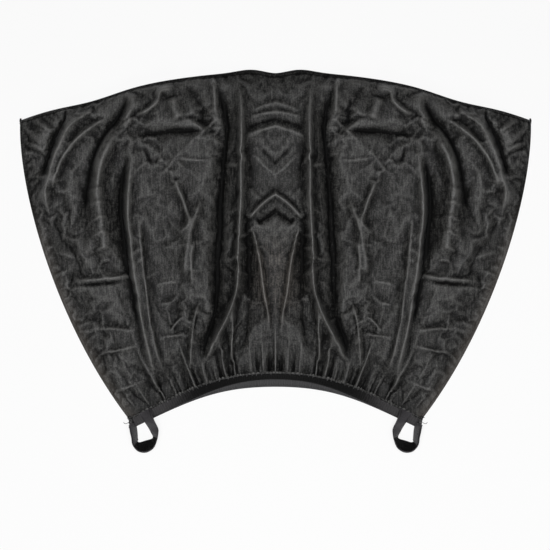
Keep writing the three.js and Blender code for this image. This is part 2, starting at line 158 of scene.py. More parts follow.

# %% [markdown]
# ## Folds laid one by one
# The elastic holds the mouth at little more than half the width of the top, so the slack stands up in
# long folds. Simulating them would give some folds, but not these ones. Each is therefore a course
# over the cloth with a height and two flank widths, as a sculptor lays a crease with one stroke. A low
# exponent makes a sharp ridge and a high one a round roll; a negative height is a valley.

# %% The fold courses
# height, inner flank, outer flank (mm), exponent, course as (s, t)
LONG_FOLDS = [
    # corner of the sleeve
    (4, 16, 14, 2, [(0.892, 0.955), (0.933, 0.913), (0.965, 0.859)]),
    (-8, 8, 9, 1.6, [(0.814, 0.99), (0.838, 0.925), (0.873, 0.873), (0.904, 0.809), (0.931, 0.745)]),
    (9, 10, 8, 1.3, [(0.728, 0.943), (0.796, 0.909), (0.832, 0.857), (0.87, 0.802), (0.9, 0.745),
                     (0.927, 0.693), (0.935, 0.62)]),
    (6, 9, 8, 1.4, [(0.658, 0.907), (0.703, 0.889), (0.764, 0.857), (0.799, 0.826), (0.846, 0.78),
                    (0.904, 0.691)]),
    # outer third, from the top edge down to the mouth
    (-10, 10, 11, 1.6, [(0.563, 0.975), (0.603, 0.906), (0.653, 0.861), (0.694, 0.813), (0.734, 0.751),
                        (0.764, 0.681), (0.793, 0.604)]),
    (10, 12, 16, 1.9, [(0.597, 0.864), (0.646, 0.812), (0.683, 0.768), (0.715, 0.699), (0.728, 0.625),
                       (0.744, 0.532), (0.764, 0.426)]),
    (3, 4, 4, 1.2, [(0.62, 0.872), (0.66, 0.83), (0.70, 0.775), (0.722, 0.71)]),
    (-10, 9, 9, 1.5, [(0.583, 0.762), (0.614, 0.691), (0.64, 0.608), (0.662, 0.5), (0.681, 0.404),
                      (0.701, 0.314), (0.722, 0.236)]),
    (9, 8, 8, 1.5, [(0.556, 0.787), (0.586, 0.685), (0.619, 0.571), (0.631, 0.485), (0.659, 0.355),
                    (0.69, 0.227), (0.737, 0.101), (0.8, 0.02)]),
    (5, 5, 5, 1.2, [(0.573, 0.578), (0.591, 0.452), (0.62, 0.332), (0.658, 0.2), (0.7, 0.06)]),
    # upper middle
    (6, 5, 6, 1.3, [(0.386, 0.964), (0.441, 0.954), (0.453, 0.919), (0.493, 0.892), (0.541, 0.883)]),
    (4, 9, 12, 1.8, [(0.55, 0.975), (0.56, 0.93), (0.575, 0.885), (0.555, 0.85)]),
    (-3.5, 10, 10, 1.7, [(0.36, 0.965), (0.32, 0.94), (0.285, 0.88), (0.275, 0.80)]),
    (-4, 9, 9, 1.6, [(0.545, 0.813), (0.457, 0.809), (0.377, 0.808), (0.278, 0.8)]),
    (5, 10, 10, 2, [(0.40, 0.93), (0.385, 0.88), (0.37, 0.84)]),
    (6, 7, 9, 1.5, [(0.299, 0.596), (0.328, 0.533), (0.365, 0.472), (0.406, 0.39), (0.419, 0.328)]),
    (5, 6, 6, 1.4, [(0.407, 0.653), (0.375, 0.569), (0.367, 0.507), (0.419, 0.474)]),
    (4, 5, 5, 1.3, [(0.345, 0.46), (0.372, 0.405), (0.385, 0.35), (0.395, 0.31)]),
    # the deep valley beside the centre and the long ridge along it
    (5, 5, 5, 1.3, [(0.245, 0.99), (0.232, 0.911), (0.225, 0.842)]),
    (-12, 9, 10, 1.6, [(0.241, 0.99), (0.213, 0.92), (0.194, 0.823), (0.209, 0.69), (0.224, 0.576),
                       (0.241, 0.447), (0.273, 0.304), (0.316, 0.211), (0.395, 0.139), (0.513, 0.032)]),
    (7, 9, 7, 1.8, [(0.151, 0.985), (0.138, 0.912), (0.135, 0.818), (0.137, 0.685), (0.137, 0.561),
                    (0.154, 0.425), (0.18, 0.294), (0.24, 0.211), (0.326, 0.144), (0.404, 0.094),
                    (0.468, 0.034)]),
    (4, 3, 3.5, 1.1, [(0.151, 0.985), (0.138, 0.912), (0.135, 0.818), (0.137, 0.685), (0.137, 0.561),
                      (0.154, 0.425), (0.18, 0.294), (0.24, 0.211), (0.326, 0.144), (0.404, 0.094),
                      (0.468, 0.034)]),
    (5, 4, 4, 1.2, [(0.215, 0.231), (0.234, 0.138), (0.265, 0.052)]),
    (6, 5, 6, 1.3, [(0.363, 0.274), (0.416, 0.213), (0.464, 0.149), (0.544, 0.047)]),
    # centre panel with its tent-shaped flap
    (-6, 9, 8, 1.6, [(0.117, 0.553), (0.119, 0.407), (0.124, 0.277), (0.146, 0.164), (0.182, 0.078)]),
    (6, 5, 4, 1.2, [(0, 0.596), (0.046, 0.563), (0.08, 0.533), (0.114, 0.501)]),
    (-4, 7, 7, 1.5, [(0, 0.54), (0.04, 0.515), (0.08, 0.49)]),
    (6, 5, 5, 1.2, [(0.106, 0.498), (0.087, 0.439), (0.068, 0.368), (0.053, 0.274), (0.036, 0.202),
                    (0.025, 0.119)]),
]
CREASES = [
    # creases that run in from the side edge
    (3.5, 5, 5, 1.2, [(0.935, 0.425), (0.841, 0.409), (0.749, 0.398), (0.68, 0.394)]),
    (-2.5, 4, 4, 1.2, [(0.94, 0.412), (0.845, 0.396), (0.75, 0.385), (0.685, 0.38)]),
    (2.5, 5, 5, 1.4, [(0.983, 0.527), (0.917, 0.497), (0.864, 0.471)]),
    (3, 5, 5, 1.3, [(0.923, 0.276), (0.832, 0.259), (0.738, 0.236)]),
    (3, 5, 5, 1.3, [(0.943, 0.207), (0.853, 0.198), (0.732, 0.191)]),
    (2.5, 6, 6, 1.5, [(0.974, 0.097), (0.91, 0.09), (0.845, 0.09)]),
    # creases between the long folds
    (3, 5, 5, 1.3, [(0.656, 0.194), (0.571, 0.183), (0.482, 0.171)]),
    (2.5, 4, 4, 1.2, [(0.56, 0.342), (0.506, 0.34), (0.448, 0.332)]),
    (3, 4, 4, 1.2, [(0.588, 0.282), (0.508, 0.283), (0.456, 0.307)]),
    (4, 3.5, 3.5, 1.1, [(0.464, 0.232), (0.518, 0.215), (0.574, 0.196)]),
    (2.5, 4, 4, 1.3, [(0.392, 0.718), (0.327, 0.706), (0.258, 0.699)]),
    (-3, 4, 4, 1.3, [(0.512, 0.779), (0.504, 0.741), (0.492, 0.699)]),
    (2.5, 3.5, 3.5, 1.2, [(0.52, 0.79), (0.50, 0.80), (0.47, 0.79)]),
    (2.5, 4, 4, 1.2, [(0.47, 0.72), (0.455, 0.715), (0.44, 0.72)]),
    (2.5, 4, 4, 1.2, [(0.445, 0.69), (0.42, 0.675), (0.40, 0.68)]),
    (2.5, 4, 4, 1.2, [(0.43, 0.655), (0.40, 0.64), (0.375, 0.65)]),
    (2.5, 4, 4, 1.3, [(0.215, 0.372), (0.175, 0.385), (0.14, 0.38)]),
    (2, 4, 4, 1.3, [(0.195, 0.69), (0.17, 0.68), (0.15, 0.685)]),
    (2.5, 5, 5, 1.4, [(0, 0.899), (0.052, 0.878), (0.095, 0.853)]),
    (2.5, 4, 4, 1.3, [(0, 0.869), (0.06, 0.85), (0.103, 0.83)]),
    (3, 5, 5, 1.5, [(0, 0.822), (0.068, 0.792), (0.127, 0.764)]),
    (-2.5, 5, 5, 1.5, [(0, 0.845), (0.068, 0.818), (0.12, 0.79)]),
    (-2.5, 6, 6, 1.6, [(0, 0.702), (0.029, 0.722), (0.057, 0.741)]),
    (2, 6, 6, 1.6, [(0, 0.66), (0.04, 0.68), (0.09, 0.72)]),
    # short wrinkles over the corner folds
    (3, 4, 4, 1.2, [(0.70, 0.955), (0.74, 0.945), (0.79, 0.952)]),
    (2.5, 4, 4, 1.2, [(0.72, 0.935), (0.765, 0.93), (0.80, 0.925)]),
]
# small wrinkles across the broad roll of the outer third
for t, s in ((0.45, 0.762), (0.49, 0.755), (0.535, 0.746), (0.58, 0.738), (0.625, 0.73), (0.668, 0.724)):
    CREASES.append((2.2, 3, 3, 1.3, [(s - 0.035, t - 0.004), (s, t + 0.004), (s + 0.04, t - 0.006)]))
print("long folds", len(LONG_FOLDS), "creases", len(CREASES))

# %% [markdown]
# ## Turning courses into relief
# For every place on the cloth, the nearest point of a course gives the distance to the crest and how
# far along the fold it lies. The height fades with that distance and towards both ends. Only the
# places near a fold are worked out, which keeps a dense cloth quick.

# %% The line of a course
COURSE_STEPS = 28
COURSE_SUBSTEPS = 12
FOLD_TAPER = 0.2
REACH = 3.2
LONG_FOLD_STRENGTH = 1.25


def smooth(x):
    x = np.clip(x, 0, 1)
    return x * x * (3 - 2 * x)


def course_line(points):
    """A smooth line through the points, evenly spaced, in mm on the floor."""
    s, t = np.array(points).T
    places = panel_place(np.maximum(s, 1e-6), t)
    ends = np.vstack([2 * places[0] - places[1], places, 2 * places[-1] - places[-2]])
    line = []
    for i in range(1, len(ends) - 2):
        a, b, c, d = ends[i - 1 : i + 3]
        u = np.linspace(0, 1, COURSE_SUBSTEPS, endpoint=False)[:, None]
        line.append(0.5 * (2 * b + (c - a) * u + (2 * a - 5 * b + 4 * c - d) * u**2
                           + (3 * b - a - 3 * c + d) * u**3))
    line = np.vstack(line + [places[-1:]])
    run = np.concatenate([[0], np.cumsum(np.hypot(*np.diff(line, axis=0).T))])
    even = np.linspace(0, run[-1], COURSE_STEPS + 1)
    return np.stack([np.interp(even, run, line[:, k]) for k in (0, 1)], -1)


first_fold = course_line(LONG_FOLDS[0][-1])
print("the first fold starts at", first_fold[0].round(), "and ends at", first_fold[-1].round())

# %% Relief of a set of folds
def fold_relief(place, folds, taper=FOLD_TAPER):
    """Sum of the heights, in mm, that the folds add at each place of the half panel."""
    total = np.zeros(len(place))
    for height, inner, outer, exponent, points in folds:
        line = course_line(points)
        reach = REACH * max(inner, outer)
        near = np.all((place > line.min(0) - reach) & (place < line.max(0) + reach), axis=1)
        spots = place[near]
        nearest = np.full(len(spots), np.inf)
        share = np.zeros(len(spots))
        side = np.zeros(len(spots))
        for i in range(COURSE_STEPS):
            step = line[i + 1] - line[i]
            k = np.clip((spots - line[i]) @ step / (step @ step), 0, 1)
            foot = line[i] + k[:, None] * step
            gap = np.hypot(*(spots - foot).T)
            closer = gap < nearest
            nearest = np.where(closer, gap, nearest)
            share = np.where(closer, (i + k) / COURSE_STEPS, share)
            side = np.where(closer, foot[:, 0] - spots[:, 0], side)
        flank = np.where(side > 0, inner, outer)
        ends = smooth(share / taper) * smooth((1 - share) / taper)
        if points[0][0] == 0:
            ends = smooth((1 - share) / taper)
        total[near] += height * ends * np.exp(-((nearest / flank) ** exponent))
    return total


# %% [markdown]
# ## The lie of the front layer
# Beneath the folds the layer is a low pillow: held down at the seams, puffed in the middle, and open
# at the mouth where the front band stands up a little. The gathers start as tight pleats at the band
# and run out within a hand's width.

# %% Levels and gathers
CLOTH = 0.8
CLEARANCE = 0.3
SEAM_THICKNESS = 1.2
BAND_THICKNESS = 1.2
BAND_WIDTH = 16
LAP = 4
FRONT_EDGE_LEVEL = CLOTH + 2 * CLEARANCE + max(SEAM_THICKNESS, BAND_THICKNESS)
FRONT_BAND_LEVEL = FRONT_EDGE_LEVEL + CLOTH + CLEARANCE
PUFF = 15
SIDE_RISE = 38
TOP_RISE = 34
EDGE_HOLD = 10
MOUTH_GAPE = 14
GAPE_SHARE = 0.8
MOUTH_TILT = math.radians(45)
MOUTH_REACH = 80
GATHERS = 26


def gape_share(s):
    return (1 - np.minimum(np.abs(s) / GAPE_SHARE, 1) ** 2) ** 2


def gather_relief(s, distance):
    """Pleats of the hem: uneven in width and height, sharp at the band and soft above it."""
    warp = s + 0.016 * np.sin(19 * s) + 0.009 * np.sin(47 * s + 1)
    phase = math.pi * GATHERS * warp
    uneven = 1 + 0.6 * np.sin(phase * 0.31 + 0.6) + 0.3 * np.sin(phase * 0.73)
    crest = 1 - 2 * np.abs(np.sin(phase / 2)) ** 0.8
    fine = np.cos(2.3 * phase + 0.8)
    rise = 1 - np.exp(-distance / 5)
    long_run = 3.9 * uneven * crest * np.exp(-distance / 48)
    short_run = 1.6 * fine * np.exp(-distance / 16)
    return (long_run + short_run) * rise


print("front band lies", round(FRONT_BAND_LEVEL, 1), "mm up; gathers", GATHERS)

# %% Noise for small creases
def layer_noise(place, scale, octaves, seed):
    """Smooth noise in steps of scale mm, alike on both halves."""
    out = np.zeros(len(place))
    for i, (x, y) in enumerate(place / scale):
        out[i] = noise.fractal(Vector((x, y, seed)), 1.0, 2.0, octaves)
    return out


def crumple(place, scale, seed):
    """Ridged noise: thin creases between flat patches, as in cloth that was folded small."""
    out = np.zeros(len(place))
    for i, (x, y) in enumerate(place / scale):
        warp = 0.35 * noise.noise(Vector((x * 0.7, y * 0.7, seed + 5)))
        out[i] = 1 - 2 * abs(noise.noise(Vector((x + warp, y - warp, seed))))
    return out


# %% Height of the front layer
def front_level(s, t, place):
    """Height of the front layer's upper side, in mm, for the half panel."""
    to_side = (1 - s) * side_edge(t)[:, 0]
    to_top = (1 - t) * TOP_HEIGHT
    to_mouth = np.maximum(t * TOP_HEIGHT - LAP, 0)
    puff = PUFF * (1 - np.exp(-to_side / SIDE_RISE)) * (1 - np.exp(-to_top / TOP_RISE))
    gape = gape_share(s)
    hem = MOUTH_GAPE * gape + np.tan(MOUTH_TILT * gape) * np.minimum(t * TOP_HEIGHT, LAP)
    blend = smooth(to_mouth / MOUTH_REACH)
    lie = hem * (1 - blend) + puff * blend
    relief = LONG_FOLD_STRENGTH * fold_relief(place, LONG_FOLDS) + fold_relief(place, CREASES, taper=0.35)
    relief *= 1 - np.exp(-((to_mouth / 7) ** 2))
    relief += gather_relief(s, to_mouth)
    held = (1 - np.exp(-((to_side / EDGE_HOLD) ** 2))) * (1 - np.exp(-((to_top / EDGE_HOLD) ** 2)))
    fine = 0.9 * crumple(place, 46, 3.0) + 0.45 * crumple(place, 21, 8.0)
    fine += 0.8 * layer_noise(place, 60, 3, 1.0)
    fine *= (1 - np.exp(-to_mouth / 25)) * held
    return FRONT_EDGE_LEVEL + CLOTH + np.maximum(lie + relief * held + fine, 0)


# %% [markdown]
# ## A cloth from a grid
# The half panel is worked out once and mirrored, so both halves match thread for thread. A UV map in
# metres of cloth goes with it, and every woven pattern below follows that map instead of the floor.

# %% Grid helpers
def grid_mesh(name, points, uv):
    """A quad mesh from arrays shaped rows by columns by 3, with a UV map in metres."""
    rows, columns = points.shape[:2]
    mesh = bpy.data.meshes.new(name)
    index = np.arange(rows * columns).reshape(rows, columns)
    quads = np.stack([index[:-1, :-1], index[:-1, 1:], index[1:, 1:], index[1:, :-1]], -1).reshape(-1, 4)
    mesh.from_pydata((points.reshape(-1, 3) * MM).tolist(), [], quads.tolist())
    layer = mesh.uv_layers.new(name="cloth")
    flat = (uv.reshape(-1, 2) * MM)[quads.ravel()]
    layer.data.foreach_set("uv", flat.ravel().astype(np.float32))
    mesh.polygons.foreach_set("use_smooth", np.ones(len(quads), bool))
    mesh.update()
    piece = bpy.data.objects.new(name, mesh)
    bpy.context.collection.objects.link(piece)
    return piece


def mirrored(half, signs):
    """Rows of the +X half, from the centre line outwards, completed with their mirror image."""
    return np.concatenate([half[:, :0:-1] * signs, half], axis=1)


def store_mask(piece, name, values):
    """Keep a value for each point of a piece, for its material to read."""
    layer = piece.data.attributes.new(name, "FLOAT", "POINT")
    layer.data.foreach_set("value", values.ravel().astype(np.float32))


# %% Smoothing and resizing a grid
def blurred(grid, reach):
    """A grid of heights smoothed over reach cells each way."""
    for axis in (0, 1):
        pad = [(reach, reach) if k == axis else (0, 0) for k in (0, 1)]
        wide = np.pad(grid, pad, mode="reflect")
        count = grid.shape[axis]
        weights = np.exp(-((np.arange(-reach, reach + 1) / (reach / 1.6)) ** 2))
        total = sum(w * np.take(wide, range(i, i + count), axis) for i, w in enumerate(weights))
        grid = total / weights.sum()
    return grid


def graded(count, grading):
    return (np.arange(count + 1) / count) ** grading


def resized(grid, rows, columns):
    """Values of a coarse grid read off at the places of a finer one."""
    for axis, count in ((0, rows), (1, columns)):
        place = np.linspace(0, grid.shape[axis] - 1, count)
        low = np.minimum(place.astype(int), grid.shape[axis] - 2)
        share = (place - low).reshape([-1 if k == axis else 1 for k in range(grid.ndim)])
        grid = np.take(grid, low, axis) * (1 - share) + np.take(grid, low + 1, axis) * share
    return grid


# %% [markdown]
# ## Letting the cloth find its own wrinkles
# The listed folds are the large ones. The small ones come from Blender's cloth: the half panel
# is pinned along its edges and given a little more area than it has room for, so it buckles between
# the folds. The run is short and always ends alike.

# %% Settle the cloth
SIM_ROWS = 170
SIM_COLUMNS = 136
SIM_FRAMES = 15
SIM_SLACK = 0.04
SIM_CAP = (1.8, 1.8, 4.2)
FRONT_ROWS = 240
FRONT_COLUMNS = 204
SEAM_ROW = -4
CREST_REACH = 9
CREST_HEIGHT = 1.6
BROAD_HEIGHT = 6


def settle(points, held):
    """Run Blender's cloth on a grid of points in mm and give back where they come to lie."""
    rows, columns = points.shape[:2]
    sheet = grid_mesh("settling", points, points[..., :2])
    group = sheet.vertex_groups.new(name="held")
    for i in np.flatnonzero(held.ravel()):
        group.add([int(i)], 1.0, "REPLACE")
    cloth = sheet.modifiers.new("cloth", "CLOTH")
    cloth.settings.quality = 6
    cloth.settings.mass = 0.2
    cloth.settings.tension_stiffness = 15
    cloth.settings.compression_stiffness = 15
    cloth.settings.shear_stiffness = 8
    cloth.settings.bending_stiffness = 0.05
    cloth.settings.air_damping = 2
    cloth.settings.vertex_group_mass = "held"
    cloth.settings.shrink_min = -SIM_SLACK
    cloth.settings.effector_weights.gravity = 0
    cloth.collision_settings.use_collision = False
    cloth.point_cache.frame_start = 1
    cloth.point_cache.frame_end = SIM_FRAMES
    scene = bpy.context.scene
    for frame in range(1, SIM_FRAMES + 1):
        scene.frame_set(frame)
    shape = sheet.evaluated_get(bpy.context.evaluated_depsgraph_get()).to_mesh()
    flat = np.empty(len(shape.vertices) * 3, np.float32)
    shape.vertices.foreach_get("co", flat)
    scene.frame_set(1)
    bpy.data.objects.remove(sheet)
    return flat.reshape(rows, columns, 3).astype(float) / MM


# %% [markdown]
# ## The front layer
# The same relief is laid on two grids: a coarse one that can be simulated quickly, and a fine one for
# the finished cloth. What the simulation moved is read off the coarse grid and added to the fine one,
# held back near the middle, where a mirrored wrinkle would look like a pattern.

# %% Front layer
def panel_grid(rows, columns):
    """Shares and places, in mm, of a grid over the front half panel."""
    t, s = np.meshgrid(graded(rows, 1.18), np.linspace(0, 1, columns + 1), indexing="ij")
    place = panel_place(s.ravel(), t.ravel())
    level = front_level(s.ravel(), t.ravel(), place)
    points = np.column_stack([place[:, 0], place[:, 1] + SHIFT_Y, level])
    return s, t, points.reshape(*s.shape, 3)


def settled_shift():
    """How far the simulated cloth moves from the shape laid out by the listed folds, in mm."""
    s, t, points = panel_grid(SIM_ROWS, SIM_COLUMNS)
    held = np.zeros(s.shape, bool)
    held[:2] = held[-2:] = True
    held[:, 0] = held[:, -2:] = True
    shift = settle(points, held) - points
    print("cloth moved by", np.linalg.norm(shift, axis=-1).mean().round(2), "mm in the mean")
    calm_middle = 0.35 + 0.65 * smooth(points[..., :1] / 70)
    return np.clip(shift, np.negative(SIM_CAP), SIM_CAP) * calm_middle


def front_panel():
    """The front cloth with its masks: painted highlight and shade on crests and valleys, a painted
    see-through rim and a lighter, warmer middle painted in where the mesh is seen through.
    """
    s, t, points = panel_grid(FRONT_ROWS, FRONT_COLUMNS)
    points = points + resized(settled_shift(), *s.shape)
    points[..., 2] = np.maximum(points[..., 2], FRONT_EDGE_LEVEL + CLOTH)
    flat = np.stack([s * TOP_HALF_WIDTH, t * TOP_HEIGHT], -1)
    cloth = grid_mesh("front_cloth", mirrored(points, (-1, 1, 1)), mirrored(flat, (-1, 1)))
    reach = int(CREST_REACH * FRONT_ROWS / TOP_HEIGHT)
    # Painted light: the crest mask lightens ridges as a painted highlight and darkens valleys as painted
    # shade.
    crest = (points[..., 2] - blurred(points[..., 2], reach)) / CREST_HEIGHT
    broad = (points[..., 2] - blurred(points[..., 2], 3 * reach)) / BROAD_HEIGHT
    crest = np.clip(0.75 * crest + 0.5 * broad, -1, 1)
    # Painted shade along the sunken seam row and in the hollows just above the hem.
    crest[SEAM_ROW] -= 0.7
    crest -= 0.4 * np.exp(-((t * TOP_HEIGHT / 20) ** 2)) * (1 - 0.5 * np.clip(crest, 0, 1))
    # A paler strip along the side edges, painted in for the pale floor seen through the thin mesh.
    edge_gap = (1 - s) * side_edge(t)[..., 0]
    rim = np.exp(-((edge_gap / 9) ** 2)) * smooth((0.75 - t) / 0.3)
    x, y = points[..., 0], points[..., 1]
    # A lighter, warmer middle, painted in where the floor is seen through the mesh.
    warm = np.exp(-((x / 36) ** 2)) * smooth((60 - y) / 60) * smooth((y + 110) / 60)
    for name, mask in (("crest", crest), ("see_through_share", 0.55 * rim), ("warm", warm)):
        store_mask(cloth, name, mirrored(mask[..., None], (1,))[..., 0])
    return cloth, points


front_cloth, front_grid = front_panel()
print("front cloth faces", len(front_cloth.data.polygons))

# %% [markdown]
# ## Finishes
# Every fabric here is black, and what tells one from another is its thread. Each gets a dark base, a
# sheen for the fuzz, and a weave drawn by a shared node group on the cloth's own UV map, so that the
# pattern follows the folds. The weave feeds colour and bump. A second group adds speckle and slow
# patches of wear. Masks kept on the mesh paint highlights on the crests and shade in the valleys, and a
# paler strip along the thin side edges for the floor seen through them. The front band gets painted
# shade in its middle and lighter ends.

# %% Node helpers
def socket(group, name, kind, way="INPUT", default=None):
    made = group.interface.new_socket(name=name, in_out=way, socket_type=kind)
    if default is not None:
        made.default_value = default
    return made


def math_node(nodes, links, operation, first, second=None):
    node = nodes.new("ShaderNodeMath")
    node.operation = operation
    for i, value in enumerate((first, second)):
        if isinstance(value, (int, float)):
            node.inputs[i].default_value = value
        elif value is not None:
            links.new(value, node.inputs[i])
    return node.outputs[0]


def blank_material(name, colour, roughness):
    material = bpy.data.materials.new(name)
    material.use_nodes = True
    shader = material.node_tree.nodes["Principled BSDF"]
    shader.inputs["Base Color"].default_value = (*colour, 1)
    shader.inputs["Roughness"].default_value = roughness
    return material, shader


# %% [markdown]
# ## Weave and grain as groups
# The weave is two crossed sine waves along the cloth's UV map, pushed about a little by noise. The
# grain is what the eye sees from a step away: a fine speckle with streaks along the warp, and slow
# clouds of wear. Each is a group, built once, that every fabric places with its own values.

# %% The weave group
def weave_group():
    """Crossed threads: a height, and a mask that is 1 on the threads and 0 in the gaps."""
    group = bpy.data.node_groups.new("crossed_threads", "ShaderNodeTree")
    socket(group, "Warp per metre", "NodeSocketFloat", default=900.0)
    socket(group, "Weft per metre", "NodeSocketFloat", default=900.0)
    socket(group, "Unevenness", "NodeSocketFloat", default=0.2)
    socket(group, "Height", "NodeSocketFloat", "OUTPUT")
    socket(group, "Threads", "NodeSocketFloat", "OUTPUT")
    nodes, links = group.nodes, group.links
    given = nodes.new("NodeGroupInput")
    result = nodes.new("NodeGroupOutput")
    uv = nodes.new("ShaderNodeUVMap")
    uv.uv_map = "cloth"
    split = nodes.new("ShaderNodeSeparateXYZ")
    links.new(uv.outputs[0], split.inputs[0])
    wander = nodes.new("ShaderNodeTexNoise")
    wander.inputs["Scale"].default_value = 60
    wander.inputs["Detail"].default_value = 3
    links.new(uv.outputs[0], wander.inputs["Vector"])
    drift = math_node(nodes, links, "MULTIPLY", wander.outputs["Fac"], given.outputs["Unevenness"])
    waves = []
    for axis, count in (("X", "Warp per metre"), ("Y", "Weft per metre")):
        turns = math_node(nodes, links, "MULTIPLY", split.outputs[axis], given.outputs[count])
        turns = math_node(nodes, links, "ADD", turns, math_node(nodes, links, "MULTIPLY", drift, 6.0))
        angle = math_node(nodes, links, "MULTIPLY", turns, math.tau)
        wave = math_node(nodes, links, "SINE", angle)
        waves.append(math_node(nodes, links, "MULTIPLY_ADD", wave, 0.5))
        waves[-1].node.inputs[2].default_value = 0.5
    height = math_node(nodes, links, "MAXIMUM", *waves)
    links.new(height, result.inputs["Height"])
    links.new(math_node(nodes, links, "POWER", height, 1.5), result.inputs["Threads"])
    return group


threads_group = weave_group()
print("node group", threads_group.name)

# %% The grain group
def grain_group():
    """Threads seen from a step away: a fine speckle with faint streaks along the warp."""
    group = bpy.data.node_groups.new("fabric_grain", "ShaderNodeTree")
    socket(group, "Scale", "NodeSocketFloat", default=700.0)
    socket(group, "Speckle", "NodeSocketFloat", "OUTPUT")
    socket(group, "Wear", "NodeSocketFloat", "OUTPUT")
    nodes, links = group.nodes, group.links
    given = nodes.new("NodeGroupInput")
    result = nodes.new("NodeGroupOutput")
    place = nodes.new("ShaderNodeTexCoord")
    fine = nodes.new("ShaderNodeTexNoise")
    fine.inputs["Detail"].default_value = 2
    links.new(place.outputs["Object"], fine.inputs["Vector"])
    links.new(given.outputs["Scale"], fine.inputs["Scale"])
    streak_place = nodes.new("ShaderNodeMapping")
    streak_place.inputs["Scale"].default_value = (1, 0.14, 1)
    links.new(place.outputs["Object"], streak_place.inputs["Vector"])
    streak = nodes.new("ShaderNodeTexNoise")
    streak.inputs["Detail"].default_value = 3
    links.new(streak_place.outputs[0], streak.inputs["Vector"])
    links.new(given.outputs["Scale"], streak.inputs["Scale"])
    both = math_node(nodes, links, "ADD", fine.outputs["Fac"], streak.outputs["Fac"])
    links.new(math_node(nodes, links, "SUBTRACT", both, 1.0), result.inputs["Speckle"])
    cloud = nodes.new("ShaderNodeTexNoise")
    cloud.inputs["Scale"].default_value = 16
    cloud.inputs["Detail"].default_value = 6
    cloud.inputs["Roughness"].default_value = 0.65
    links.new(place.outputs["Object"], cloud.inputs["Vector"])
    links.new(math_node(nodes, links, "SUBTRACT", cloud.outputs["Fac"], 0.5), result.inputs["Wear"])
    return group


grain = grain_group()
print("node group", grain.name)

# %% Mixing values and colours
def group_node(nodes, tree, **values):
    node = nodes.new("ShaderNodeGroup")
    node.node_tree = tree
    for name, value in values.items():
        node.inputs[name.replace("_", " ")].default_value = value
    return node


def weighted(nodes, links, base, terms):
    """The base value plus each output times its weight."""
    total = base
    for output, weight in terms:
        part = math_node(nodes, links, "MULTIPLY", output, weight)
        total = math_node(nodes, links, "ADD", part, total)
    return total


def mixed(nodes, links, share, first, second):
    colour = nodes.new("ShaderNodeMix")
    colour.data_type = "RGBA"
    colour.clamp_factor = True
    for index, value in ((6, first), (7, second)):
        if isinstance(value, tuple):
            colour.inputs[index].default_value = (*value, 1)
        else:
            links.new(value, colour.inputs[index])
    links.new(share, colour.inputs["Factor"])
    return colour.outputs[2]


def attribute(nodes, name):
    node = nodes.new("ShaderNodeAttribute")
    node.attribute_name = name
    return node.outputs["Fac"]


# %% A fabric finish
THREAD_SHARE = 0.3
WEAR_SHARE = 0.5
WEAR_ROUGHNESS = 0.25
# Colour of the paler edge painted in for the floor seen through the mesh.
SEE_THROUGH_COLOUR = (0.075, 0.066, 0.058)
WARM_TINT = (1.35, 1.16, 1.04, 1)
CREST_SHINE = 1.3


def fabric(name, dark, light, roughness, warp, weft, bump, gloss=0.3, sheen=0.05, speckle=0.5,
           base=0.2, masks=(), grain_scale=650.0):
    """Threads of the light colour over gaps of the dark one, with speckle and soft wear."""
    material, shader = blank_material(name, light, roughness)
    nodes, links = material.node_tree.nodes, material.node_tree.links
    weave = group_node(nodes, threads_group, Warp_per_metre=warp, Weft_per_metre=weft, Unevenness=0.2)
    worn = group_node(nodes, grain, Scale=grain_scale)
    terms = [(weave.outputs["Threads"], THREAD_SHARE), (worn.outputs["Speckle"], speckle),
             (worn.outputs["Wear"], WEAR_SHARE)]
    # Mesh masks add painted light to the colour: highlights on crests, shade in valleys, lighter ends on the
    # front band.
    terms += [(attribute(nodes, mask), weight) for mask, weight in masks]
    colour = mixed(nodes, links, weighted(nodes, links, base, terms), dark, light)
    if name == "front_stretch_mesh":
        # Painted see-through: a paler strip along the side edges, where the floor shows through the mesh.
        colour = mixed(nodes, links, attribute(nodes, "see_through_share"), colour, SEE_THROUGH_COLOUR)
        # Painted see-through: the middle is lightened and warmed where the floor shows through the mesh.
        brown = math_node(nodes, links, "MULTIPLY", attribute(nodes, "warm"), 0.6)
        tint = nodes.new("ShaderNodeMix")
        tint.data_type = "RGBA"
        tint.blend_type = "MULTIPLY"
        links.new(brown, tint.inputs["Factor"])
        links.new(colour, tint.inputs[6])
        tint.inputs[7].default_value = WARM_TINT
        colour = tint.outputs[2]
        # The crest mask also raises the specular level on ridges and lowers it in valleys, as a painted
        # highlight.
        shine = math_node(nodes, links, "MULTIPLY_ADD", attribute(nodes, "crest"), CREST_SHINE * gloss)
        shine.node.inputs[2].default_value = gloss
        links.new(math_node(nodes, links, "MAXIMUM", shine, 0.03), shader.inputs["Specular IOR Level"])
    links.new(colour, shader.inputs["Base Color"])
    rough = math_node(nodes, links, "MULTIPLY_ADD", worn.outputs["Wear"], WEAR_ROUGHNESS)
    rough.node.inputs[2].default_value = roughness
    links.new(rough, shader.inputs["Roughness"])
    relief = math_node(nodes, links, "ADD", weave.outputs["Height"], worn.outputs["Speckle"])
    bump_node = nodes.new("ShaderNodeBump")
    bump_node.inputs["Distance"].default_value = bump * MM
    bump_node.inputs["Strength"].default_value = 1
    links.new(relief, bump_node.inputs["Height"])
    links.new(bump_node.outputs[0], shader.inputs["Normal"])
    shader.inputs["Specular IOR Level"].default_value = gloss
    shader.inputs["Sheen Weight"].default_value = sheen
    shader.inputs["Sheen Roughness"].default_value = 0.35
    return material


